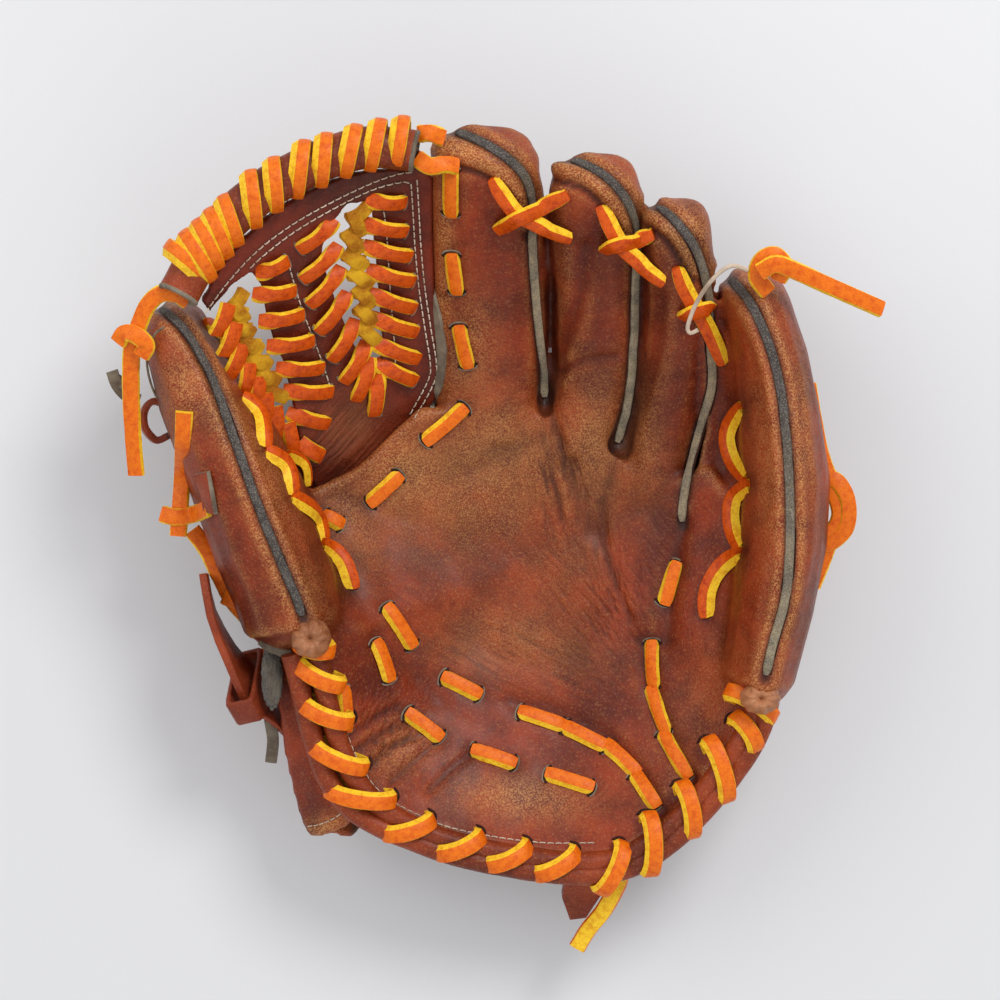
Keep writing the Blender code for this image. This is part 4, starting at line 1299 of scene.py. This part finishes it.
def centre_line(node, rows, count, window):
    """The middle line of a tube-like CAD node, along a row of pixels laid over it."""
    points = np.array([vert.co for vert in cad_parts[node].data.vertices])
    spots = pixels_of(points)
    way = curve(rows, count)
    found = []
    for index, spot in enumerate(way):
        along = way[min(index + 1, count - 1)] - way[max(index - 1, 0)]
        along /= np.linalg.norm(along)
        off = spots - spot
        near = (np.abs(off @ along) < window) & (np.abs(off @ np.array((-along[1], along[0]))) < 60)
        found.append(points[near].mean(0) if near.any() else found[-1])
    return [Vector(point) for point in soften(found, 3)]


WEB_ROLL_WAY = (
    (419, 149), (399, 144), (348, 150), (300, 169), (252, 198), (218, 232), (196, 260), (178, 297),
)
HEEL_ROLL_WAY = (
    (310, 640), (318, 684), (327, 733), (348, 790), (396, 823), (462, 848), (548, 866), (610, 864),
    (650, 848), (692, 812), (722, 775), (748, 736), (768, 690),
)


# Wraps: half their depth and height, lean, bow, seed, and how much of each cut edge shows
WEB_WRAP = (0.0088, 0.0074, 0.3, 0.0006, 400, (0.0024, 0.0003))
HEEL_WRAP = (0.0060, 0.0060, 0.0, -0.0022, 500, (0.0003, 0.0016))
# Where a wrap starts and ends under its roll, in degrees from the top, and how far it slants
WRAP_START = -150
WRAP_STOP = 175
WRAP_SLANT = 0.0012


def wrap_lace(build, middle, out, up, deep, thick, bow, seed, edges):
    """A lace round a roll: from its hole in the leather, over the roll and under it."""
    path, ups = [], []
    along = out.cross(up).normalized()
    count = 34
    for step in range(count):
        turn = math.radians(WRAP_START + (WRAP_STOP - WRAP_START) * step / (count - 1))
        place = middle + out * math.sin(turn) * deep + up * math.cos(turn) * thick
        place += along * (WRAP_SLANT * math.sin(turn / 2) + bow * max(math.cos(turn), 0))
        path.append(place)
        ups.append((out * math.sin(turn) * thick + up * math.cos(turn) * deep).normalized())
    add_lace(build, path, ups, 1.0, seed, edges)


def build_wraps(name, node, line, wraps, laces, deep, thick, lean, bow, seed, edges):
    """Wraps that start and end at the pixels seen, round a roll's middle line."""
    spots = pixels_of(np.array(line))
    build = Build()
    for index, (outer, inner) in enumerate(wraps):
        middle = (np.array(outer) + np.array(inner)) / 2
        level = line[int(np.argmin(np.linalg.norm(spots - middle, axis=1)))].z
        first, last = seen(*outer, level), seen(*inner, level)
        width = (first - last).length / 2
        out = ((first - last).normalized() + Vector((0, 0, lean))).normalized()
        up = (UP - out * out.z).normalized()
        wrap_lace(build, (first + last) / 2, out, up, max(width, deep), thick, bow, seed + index, edges)
    build.finish(name, laces, "rawhide", node)


def build_web_roll(line, material, raw, dark):
    """The web's rolled top edge, with raw edges at its two mouths, each capped with painted shade."""
    build = Build()
    count = 120
    fine = smooth_path(line, count)
    ups = []
    for index in range(count):
        along = heading(fine, index)
        up = Vector((-along.y, along.x, 0)).cross(along).normalized() * -1
        ups.append(up if up.z > 0 else -up)
    grow = [1 + 0.02 * wave(index * 0.11, 3, 1) for index in range(count)]
    turns = [2 * math.pi * side / 24 for side in range(24)]
    section = [(0.0060 * math.cos(turn) * 1.28, 0.0060 * math.sin(turn)) for turn in turns]
    build.sweep(fine, ups, section, (0,) * 24, grow, caps=2)
    for end, inner in ((0, 1), (-1, -2)):
        away = (fine[end] - fine[inner]).normalized()
        up = ups[end]
        across = away.cross(up)
        ring = []
        for step in range(37):
            turn = 2 * math.pi * step / 36
            round_edge = across * 0.0068 * math.cos(turn) + up * 0.0051 * math.sin(turn)
            ring.append(fine[end] + away * 0.0004 + round_edge)
        build.tube(ring, [away] * 37, 0.0011, 8, 1)
    build.finish("web_roll", [material, raw, dark], "web_leather", "web_binding")


def build_heel_roll(line, material):
    """The heel's double roll: two padded edges side by side, closer together past the thumb's base."""
    build = Build()
    count = 150
    fine = smooth_path(line, count)
    for side in (-1, 1):
        path, ups = [], []
        for index, point in enumerate(fine):
            along = heading(fine, index)
            out = UP.cross(along).normalized()
            closer = min(max(index / (count - 1) - 0.22, 0) / 0.12, 1)
            up = along.cross(out).normalized()
            uneven = 0.0004 * wave(index * 0.15, side, 2)
            path.append(point + out * side * (0.0044 - 0.0020 * closer) + Vector((0, 0, uneven)))
            ups.append(up if up.z > 0 else -up)
        grow = [1 + 0.05 * wave(index * 0.2, side * 3, 7) for index in range(count)]
        build.tube(path, ups, 0.0040, 14, 0, grow)
    build.finish("heel_roll", [material], "shell_leather", "heel_binding")


def fitted_height(node):
    """A smooth height over the web, fitted to its CAD node."""
    points = np.array([vert.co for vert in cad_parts[node].data.vertices])

    def terms(x, y):
        x, y = x * 10, y * 10
        return np.array([x * 0 + 1, x, y, x * x, x * y, y * y, x**3, x * x * y, x * y * y, y**3]).T

    weights = np.linalg.lstsq(terms(points[:, 0], points[:, 1]), points[:, 2], rcond=None)[0]
    return lambda x, y: float(terms(np.array(x), np.array(y)) @ weights)


# Patches on the web: px, py, wide, high and lean
WEB_WORN = (350, 430, 40, 40)
WEB_WORN_TOP = (380, 180, 60, 14, -25)
WEB_POCKET = (352, 428, 34, 34)
WEB_CREASED = (330, 440, 50, 50)


def build_web(material):
    made = remeshed("web_sheet", ("web_panel",), WEB_VOXEL, 0.0, [material])
    relax(made, 12)
    points = surface(made)[0]
    spots = pixels_of(points)
    line_shade = np.zeros(len(points))
    # Painted shade along the web's thread rows
    for rows in WEB_THREADS:
        line_shade = np.maximum(line_shade, 0.5 * bell(line_distance(spots, rows), 3.0))
    wear_and_highlight = 0.5 * patch(spots, *WEB_WORN) + 0.25 * patch(spots, *WEB_WORN_TOP)
    pocket = 0.6 * patch(spots, *WEB_POCKET)
    creased = 0.8 * patch(spots, *WEB_CREASED)
    set_values(made, {"wear_and_highlight": wear_and_highlight, "line_shade": line_shade, "pocket": pocket, "fold_d": creased})
    return finish_piece(made, "web_leather", "web_panel")


def build_nets(height, laces, yellow, holes_look):
    """The two ladders: rungs from the panel's eyelets to a spine of crossed laces, flesh side up."""

    def over(px, py, lift):
        level = 0.06
        for _ in range(8):
            spot = seen(px, py, level)
            level = height(spot.x, spot.y)
        step = 0.002
        right = height(spot.x + step, spot.y) - level
        back = height(spot.x, spot.y + step) - level
        up = Vector((-right / step, -back / step, 1)).normalized()
        return seen(px, py, level) + up * lift, up

    for name, rungs, spine, more in (
        ("web_net_right", NET_RIGHT_RUNGS, NET_RIGHT_SPINE, ()),
        ("web_net_left", NET_LEFT_RUNGS, NET_LEFT_SPINE, NET_LEFT_BRAID),
    ):
        build = Build()
        for index, (edge, middle) in enumerate(rungs):
            rows = curve((edge, middle), 14)
            path, ups = [], []
            for step, spot in enumerate(rows):
                share = step / 13
                rise = 0.0022 + 0.0022 * math.sin(math.pi * share) - 0.0012 * share
                point, up = over(*spot, rise)
                path.append(point)
                ups.append((up + Vector((0, -0.25, 0)) * math.sin(math.pi * share)).normalized())
            first = ups[0]
            path.insert(0, path[0] - first * 0.0035)
            ups.insert(0, (first + (path[1] - path[3]).normalized()).normalized())
            side = 1 if edge[0] > middle[0] else -1
            for step in range(9, 15):
                along = heading(path, step)
                ups[step] = Matrix.Rotation(side * math.radians(8 * (step - 8)), 3, along) @ ups[step]
            edges = (0.0004, 0.0010) if side < 0 else (0.0010, 0.0004)
            add_lace(build, path, ups, 0.96, 100 + index, edges, 0.82)
        for index, (edge, middle) in enumerate(more):
            path, ups = [], []
            for step, spot in enumerate(curve((edge, middle), 10)):
                lift = 0.0040 + 0.0016 * math.sin(math.pi * step / 9) + 0.0004 * (index % 2)
                point, up = over(*spot, lift)
                path.append(point)
                ups.append((up + Vector((0.25, 0.1, 0))).normalized())
            add_lace(build, path, ups, 0.95, 130 + index)
        build.finish(name + "_rungs", laces, "rawhide", name)

        braid = Build()
        section, _ = lace_section(LACE_WIDTH * 0.82, *EVEN_EDGES)
        way = curve(spine, 14 if more else 16)
        for index in range(len(way) - 2):
            side = 1 if index % 2 else -1
            along = way[index + 2] - way[index]
            across = np.array((-along[1], along[0])) / np.linalg.norm(along) * 7.5 * side
            path, ups = [], []
            for step in range(9):
                share = step / 8
                spot = way[index] - along * 0.15 + along * 1.1 * share + across * (1 - 2 * share)
                point, up = over(*spot, 0.0016 + 0.0020 * math.sin(math.pi * share) + 0.0005 * side)
                path.append(point)
                ups.append(up)
            braid.sweep(path, ups, section, (0,) * 11)
        braid.finish(name + "_spine", [yellow], "rawhide")

        eyelets = Build()
        for edge, middle in rungs:
            away = np.array(edge) - np.array(middle)
            away = away / np.linalg.norm(away)
            arc = half_turn(np.array(edge), away, np.array((-away[1], away[0])), 3.5, 8)
            path, ups = zip(*(over(*spot, 0.0016) for spot in arc))
            eyelets.tube(path, ups, 0.00035, 6)
        eyelets.finish(name + "_eyelets", [holes_look], "welt")


def build_threads(ground, cream):
    build = Build()
    for rows in WEB_THREADS + HEEL_THREADS:
        path, ups = ground.path(rows, 80, 0.0001)
        add_stitches(build, path, ups)
    build.finish("thread_rows", [cream], "welt")


# The free laces: rows of pixel right, down and height. Widths follow the lace.
TAILS = {
    "little_tip_lace": (
        (
            (768, 292, 0.0900), (757, 276, 0.0945), (762, 260, 0.0985), (775, 255, 0.1000),
            (784, 266, 0.0985), (778, 280, 0.0955),
        ),
        (
            (760, 272, 0.0990), (776, 264, 0.1015), (796, 271, 0.0985), (832, 287, 0.0925),
            (882, 309, 0.0830),
        ),
    ),
    "thumb_tip_lace": (
        (
            (188, 301, 0.0880), (176, 294, 0.0905), (160, 294, 0.0905), (147, 306, 0.0890),
            (139, 324, 0.0870), (134, 340, 0.0860),
        ),
        (
            (133, 334, 0.0860), (131, 360, 0.0820), (131, 400, 0.0770), (133, 440, 0.0730),
            (136, 475, 0.0690),
        ),
        (
            (118, 342, 0.0860), (124, 333, 0.0880), (136, 335, 0.0890), (146, 345, 0.0880),
            (141, 356, 0.0860),
        ),
    ),
    "thumb_side_lace": (
        (
            (184, 412, 0.0650), (183, 445, 0.0650), (182, 475, 0.0650), (180, 505, 0.0650),
            (178, 536, 0.0640),
        ),
        ((162, 514, 0.0640), (176, 517, 0.0665), (194, 514, 0.0665), (208, 508, 0.0640)),
    ),
    "thumb_roll_lace": (
        (
            (192, 530, 0.0540), (207, 550, 0.0530), (219, 575, 0.0540), (232, 600, 0.0550),
            (246, 616, 0.0560),
        ),
        (
            (228, 606, 0.0560), (236, 590, 0.0575), (250, 588, 0.0580), (257, 600, 0.0570),
            (250, 614, 0.0560),
        ),
    ),
    "little_side_lace": (
        (
            (808, 384, 0.0590), (814, 420, 0.0600), (822, 458, 0.0610), (834, 490, 0.0600),
            (840, 516, 0.0595), (828, 540, 0.0590),
        ),
        (
            (822, 476, 0.0600), (838, 482, 0.0610), (848, 502, 0.0605), (846, 528, 0.0600),
            (828, 544, 0.0590), (816, 540, 0.0580),
        ),
        ((830, 540, 0.0585), (822, 562, 0.0570), (812, 586, 0.0560)),
    ),
    "heel_lace_end": (
        (
            (622, 868, 0.0500), (618, 884, 0.0470), (604, 910, 0.0430), (588, 930, 0.0400),
            (577, 948, 0.0380),
        ),
    ),
}
WEB_TO_INDEX = (
    ((417, 158, 0.0915), (430, 166, 0.0930), (444, 164, 0.0925), (458, 166, 0.0900)),
    ((418, 134, 0.0900), (430, 133, 0.0910), (444, 138, 0.0890)),
)


OVER_LIFT = 0.0022  # how far a lace that lies on the leather is above it


def build_tails(laces, ground):
    """The free laces. The one along the thumb's side lies on the leather."""
    def add(build, rows, seed, over=False):
        if over:
            hits = [ground.hit(px, py) for px, py, _ in rows]
            floors = [hit[0].z + OVER_LIFT if hit else 0 for hit in hits]
            rows = [(px, py, max(height, floor)) for (px, py, height), floor in zip(rows, floors)]
        path = seen_path(rows, 40)
        ups = []
        for index in range(len(path)):
            along = heading(path, index)
            up = UP - along * along.z
            lean = 0.5 * wave(seed * 1.7, index * 0.05, 2)
            ups.append((up.normalized() + along.cross(up).normalized() * lean).normalized())
        add_lace(build, path, ups, 0.95, seed)

    for number, (name, ribbons) in enumerate(TAILS.items()):
        build = Build()
        for index, rows in enumerate(ribbons):
            add(build, rows, 200 + number * 10 + index, name == "thumb_side_lace")
        sides = laces[::-1] if name == "heel_lace_end" else laces
        build.finish(name + "_ends", sides, "rawhide", name)
    build = Build()
    for index, rows in enumerate(WEB_TO_INDEX):
        add(build, rows, 300 + index)
    build.finish("web_index_laces", laces, "rawhide")


# The index finger's raw edge beside the web: way and half widths in metres
RAW_EDGE_WAY = (
    (428, 176), (428, 215), (430, 255), (434, 295), (439, 330), (442, 355), (440, 382), (432, 408),
)
RAW_EDGE_HALF = (0.0010, 0.0012, 0.0013, 0.0016, 0.0024, 0.0026, 0.0018, 0.0008)
# The seam line at the thumb's tip
SEAM_LINES = (
    ((166, 326), (156, 333), (149, 346), (147, 364), (151, 384), (158, 400)),
)
# The stitched tab on the thumb's side
TAB_WAY = ((203, 472), (209, 490), (213, 511))
TAB_WIDTH = 0.0078
# The tied string at the ring finger: px, py and height
STRING_WAY = (
    (748, 270, 0.0975), (731, 266, 0.0985), (713, 279, 0.0960), (697, 302, 0.0850), (688, 325, 0.0790),
    (690, 333, 0.0780), (698, 330, 0.0790),
)
# Thin thongs at the strap: px, py and height
THONGS = (
    ((112, 371, 0.060), (117, 385, 0.060), (127, 396, 0.058), (140, 400, 0.057)),
    ((113, 377, 0.058), (122, 383, 0.060), (134, 390, 0.060)),
    ((270, 720, 0.050), (273, 740, 0.047), (271, 762, 0.044)),
    ((262, 640, 0.064), (270, 646, 0.067), (284, 652, 0.068), (292, 662, 0.066)),
)
THONG_SECTION = ((-0.0022, -0.0008), (0.0022, -0.0008), (0.0022, 0.0008), (-0.0022, 0.0008))
# The small leather ring at the thumb: px, py and height
RING_WAY = (
    (166, 404, 0.058), (152, 402, 0.058), (144, 412, 0.058),
    (145, 428, 0.058), (156, 440, 0.058), (168, 436, 0.058),
)
RING_SECTION = ((-0.0013, -0.004), (0.0013, -0.004), (0.0013, 0.004), (0, 0.0044), (-0.0013, 0.004))
# Stitches of thread at the back flap's rolled corner
FLAP_THREADS = (
    ((308, 826), (320, 824), (334, 818), (348, 808)),
)


def build_trim(ground, raw, cream, leather_look):
    """The small trim: raw edge, seam line, tab, string, thongs, ring and the flap's thread."""
    build = Build()
    path, ups = ground.path(RAW_EDGE_WAY, 60, 0.0004)
    half = np.interp(np.linspace(0, 1, 60), np.linspace(0, 1, len(RAW_EDGE_HALF)), RAW_EDGE_HALF)
    first = RAW_EDGE_HALF[0]
    grow = []
    for step, value in enumerate(half):
        grow.append(value / first * (1 + 0.15 * wave(step * 0.4, 2, 2)))
    section = ((-first, -0.0003), (first, -0.0003), (first, 0.00025), (0, 0.0004), (-first, 0.00025))
    build.sweep(path, ups, section, (0,) * 5, grow)
    build.finish("index_raw_edge", [raw], "shell_leather")

    build = Build()
    for rows in SEAM_LINES:
        path, ups = ground.path(rows, 40, 0.0, clip=True)
        build.tube(path, ups, 0.00050, 6)
    build.finish("thumb_seam", [raw], "shell_leather")

    build = Build()
    path, ups = ground.path(TAB_WAY, 16, 0.0010)
    section, slots = lace_section(TAB_WIDTH, 0.0002, 0.0002)
    build.sweep(path, ups, section, slots, caps=1)
    build.finish("thumb_tab", [leather_look, raw], "shell_leather")

    build = Build()
    build.tube(seen_path(STRING_WAY, 60), [UP] * 60, 0.0008, 8)
    for rows in THONGS:
        build.sweep(seen_path(rows, 24), [UP] * 24, THONG_SECTION, (1,) * 4)
    for rows in FLAP_THREADS:
        path, ups = ground.path(rows, 30, 0.0002)
        add_stitches(build, path, ups)
    build.finish("string_and_thongs", [cream, raw], "welt")

    build = Build()
    ups = [Vector((0.2, 0, 1)).normalized()] * 40
    build.sweep(seen_path(RING_WAY, 40), ups, RING_SECTION, (0,) * 5)
    build.finish("thumb_ring", [leather_look], "shell_leather")


def build_ball(node, name, look, slot, size_at):
    """A round piece that fills a CAD node's box, with its size in each direction from size_at."""
    low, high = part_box(node)
    middle, half = (low + high) / 2, (high - low) / 2
    work = bmesh.new()
    bmesh.ops.create_icosphere(work, subdivisions=5, radius=1)
    for vert in work.verts:
        direction = vert.co.normalized()
        size = size_at(direction)
        vert.co = middle + Vector([direction[axis] * half[axis] * size for axis in range(3)])
    return finish_piece(from_work(name, work, [look]), slot, node)


def cap_size(direction):
    """Leather gathered in pleats round a dent."""
    turn = math.atan2(direction.y, direction.x)
    flat = math.sqrt(direction.x**2 + direction.y**2)
    gathers = math.cos(9 * turn + 2 * noise.noise(direction * 2))
    pleat = 0.09 * gathers * flat * max(direction.z + 0.2, 0)
    dent = -0.50 * math.exp(-((flat / 0.28) ** 2)) if direction.z > 0 else 0
    return 1 + pleat + dent + 0.05 * noise.noise(direction * 3.1)


def fleece_size(direction):
    return 1 + 0.16 * noise.noise(direction * 6) + 0.10 * noise.noise(direction * 17)


STRAP_EDGE = 0.0007  # how round a strap's edges are
STRAP_SHOWN = 0.07  # past this the wrist strap's right end is drawn in
# The strap's part left of this pixel column is drawn in by this much, from this pixel row downwards
STRAP_LEFT = 400
STRAP_ROW = 708
STRAP_FADE = 25
STRAP_TUCK = 0.012


def build_strap(node, look):
    """A leather strap or tab: its CAD solid with rounded edges."""
    work = joined_nodes((node,), 0.0)
    if node == "wrist_strap":
        for vert in work.verts:
            if vert.co.x > STRAP_SHOWN:
                vert.co.x = STRAP_SHOWN + (vert.co.x - STRAP_SHOWN) * 0.5
            px, py = pixels_of(np.array([vert.co]))[0]
            if px < STRAP_LEFT:
                vert.co.x += STRAP_TUCK * min(max((py - STRAP_ROW) / STRAP_FADE, 0), 1)
    made = from_work(node + "_leather", work)
    bevel = made.modifiers.new("edges", "BEVEL")
    bevel.width = STRAP_EDGE
    bevel.segments = 3
    bevel.limit_method = "ANGLE"
    bevel.angle_limit = math.radians(50)
    bake(made, [look])
    return finish_piece(made, "shell_leather", node)


# The lights: name, place, size in metres and power in watts
LIGHTS = (
    ("key", (0.50, 0.75, 1.15), 0.50, 10.0),
    ("fill", (-0.85, 0.45, 1.05), 0.9, 4.0),
    ("front", (0.2, -1.0, 0.9), 0.8, 1.5),
)
LIT_SPOT = Vector((0, 0, 0.03))


def build_stage():
    mesh = bpy.data.meshes.new("floor")
    mesh.from_pydata([(-3, -3, 0), (3, -3, 0), (3, 3, 0), (-3, 3, 0)], [], [(0, 1, 2, 3)])
    mesh.materials.append(floor_material())
    placed("floor", mesh, (0, 0, -0.0002))

    world = bpy.data.worlds.new("studio")
    bpy.context.scene.world = world
    world.use_nodes = True
    sky = world.node_tree.nodes["Background"].inputs
    sky["Color"].default_value = (0.97, 0.98, 1.0, 1)
    sky["Strength"].default_value = 0.66
    bpy.context.scene.view_settings.view_transform = "Standard"
    for name, spot, size, power in LIGHTS:
        light = bpy.data.lights.new(name, "AREA")
        light.shape = "DISK"
        light.size = size
        light.energy = power
        lamp = placed(name, light, spot)
        lamp.rotation_euler = (LIT_SPOT - Vector(spot)).to_track_quat("-Z", "Y").to_euler()


def build_camera():
    data = bpy.data.cameras.new("camera")
    data.lens = LENS * 1000
    data.sensor_width = SENSOR * 1000
    data.clip_start = 0.01
    bpy.context.scene.camera = placed("camera", data, EYE)


def main():
    build_camera()
    build_stage()
    brown = leather("brown_leather", BROWN, DEEP_BROWN, TAN)
    maroon = leather("maroon_leather", MAROON, DEEP_MAROON, srgb(140, 84, 52))
    rolled = leather("rolled_leather", srgb(150, 60, 26), srgb(96, 32, 12), TAN, wear_and_highlight=False)
    strap = leather("strap_leather", srgb(156, 64, 32), srgb(118, 44, 20), srgb(196, 118, 70), wear_and_highlight=False)
    face = lace_material("lace_face", LACE_FACE, LACE_DARK)
    flesh = lace_material("lace_flesh", LACE_FLESH, srgb(222, 150, 20), 0.7)
    laces = [face, flesh]
    grey = welt_material()
    raw = fibre_material("raw_edge", RAW_EDGE, srgb(96, 84, 72))
    cream = fibre_material("thread", THREAD_CREAM, srgb(190, 168, 146), 2500)
    cap = leather("cap_leather", srgb(176, 116, 78), srgb(112, 62, 36), srgb(212, 164, 126), wear_and_highlight=False)
    # Painted shade inside the web roll's mouths
    dark = fibre_material("roll_mouth_shade", srgb(44, 30, 26), srgb(24, 16, 14))
    fleece = fibre_material("fleece", FLEECE_GREY, srgb(70, 60, 50), 500, 0.95, 0.4, 0.002)
    # Dark of the welts' seams, and painted shade in the lace holes
    seam = fibre_material("seam_line_and_hole_shade", SEAM_AND_HOLE_SHADE_DARK, srgb(34, 14, 8), 600, 0.7)
    red = lace_material("lace_red", LACE_RED, LACE_RED_DARK)
    woven = fibre_material("woven_flesh", srgb(226, 172, 34), srgb(168, 98, 16), 1400, 0.8, 0.0, 0.0006)
    red_laces = [red, flesh]

    shell = build_shell(brown)
    back = build_back(brown)
    web = build_web(maroon)
    ground = Ground([shell])
    build_welts(ground, grey, seam)
    build_palm_stitches(ground, laces, raw, seam)
    build_edge_arcs(ground, red_laces)
    build_cross_laces(ground, red_laces)
    build_threads(Ground([shell, web]), cream)
    web_line = centre_line("web_binding", WEB_ROLL_WAY, 40, 13)
    heel_line = centre_line("heel_binding", HEEL_ROLL_WAY, 60, 18)
    build_web_roll(web_line, rolled, raw, dark)
    build_heel_roll(heel_line, rolled)
    build_wraps("web_top_wraps", "web_top_lace", web_line, WEB_WRAPS, laces, *WEB_WRAP)
    build_wraps("heel_wraps", "heel_lace", heel_line, HEEL_WRAPS, laces, *HEEL_WRAP)
    build_nets(fitted_height("web_panel"), red_laces, woven, raw)
    build_trim(Ground([shell, back]), raw, cream, strap)
    build_tails(laces, ground)
    for node in ("thumb_end_cap", "little_end_cap"):
        build_ball(node, node + "_knob", cap, "cap_leather", cap_size)
    for node in ("wrist_strap", "strap_keeper"):
        build_strap(node, strap)
    build_strap("heel_tab", rolled)
    build_ball("fleece_pad", "fleece_lock", fleece, "fleece", fleece_size)


main()
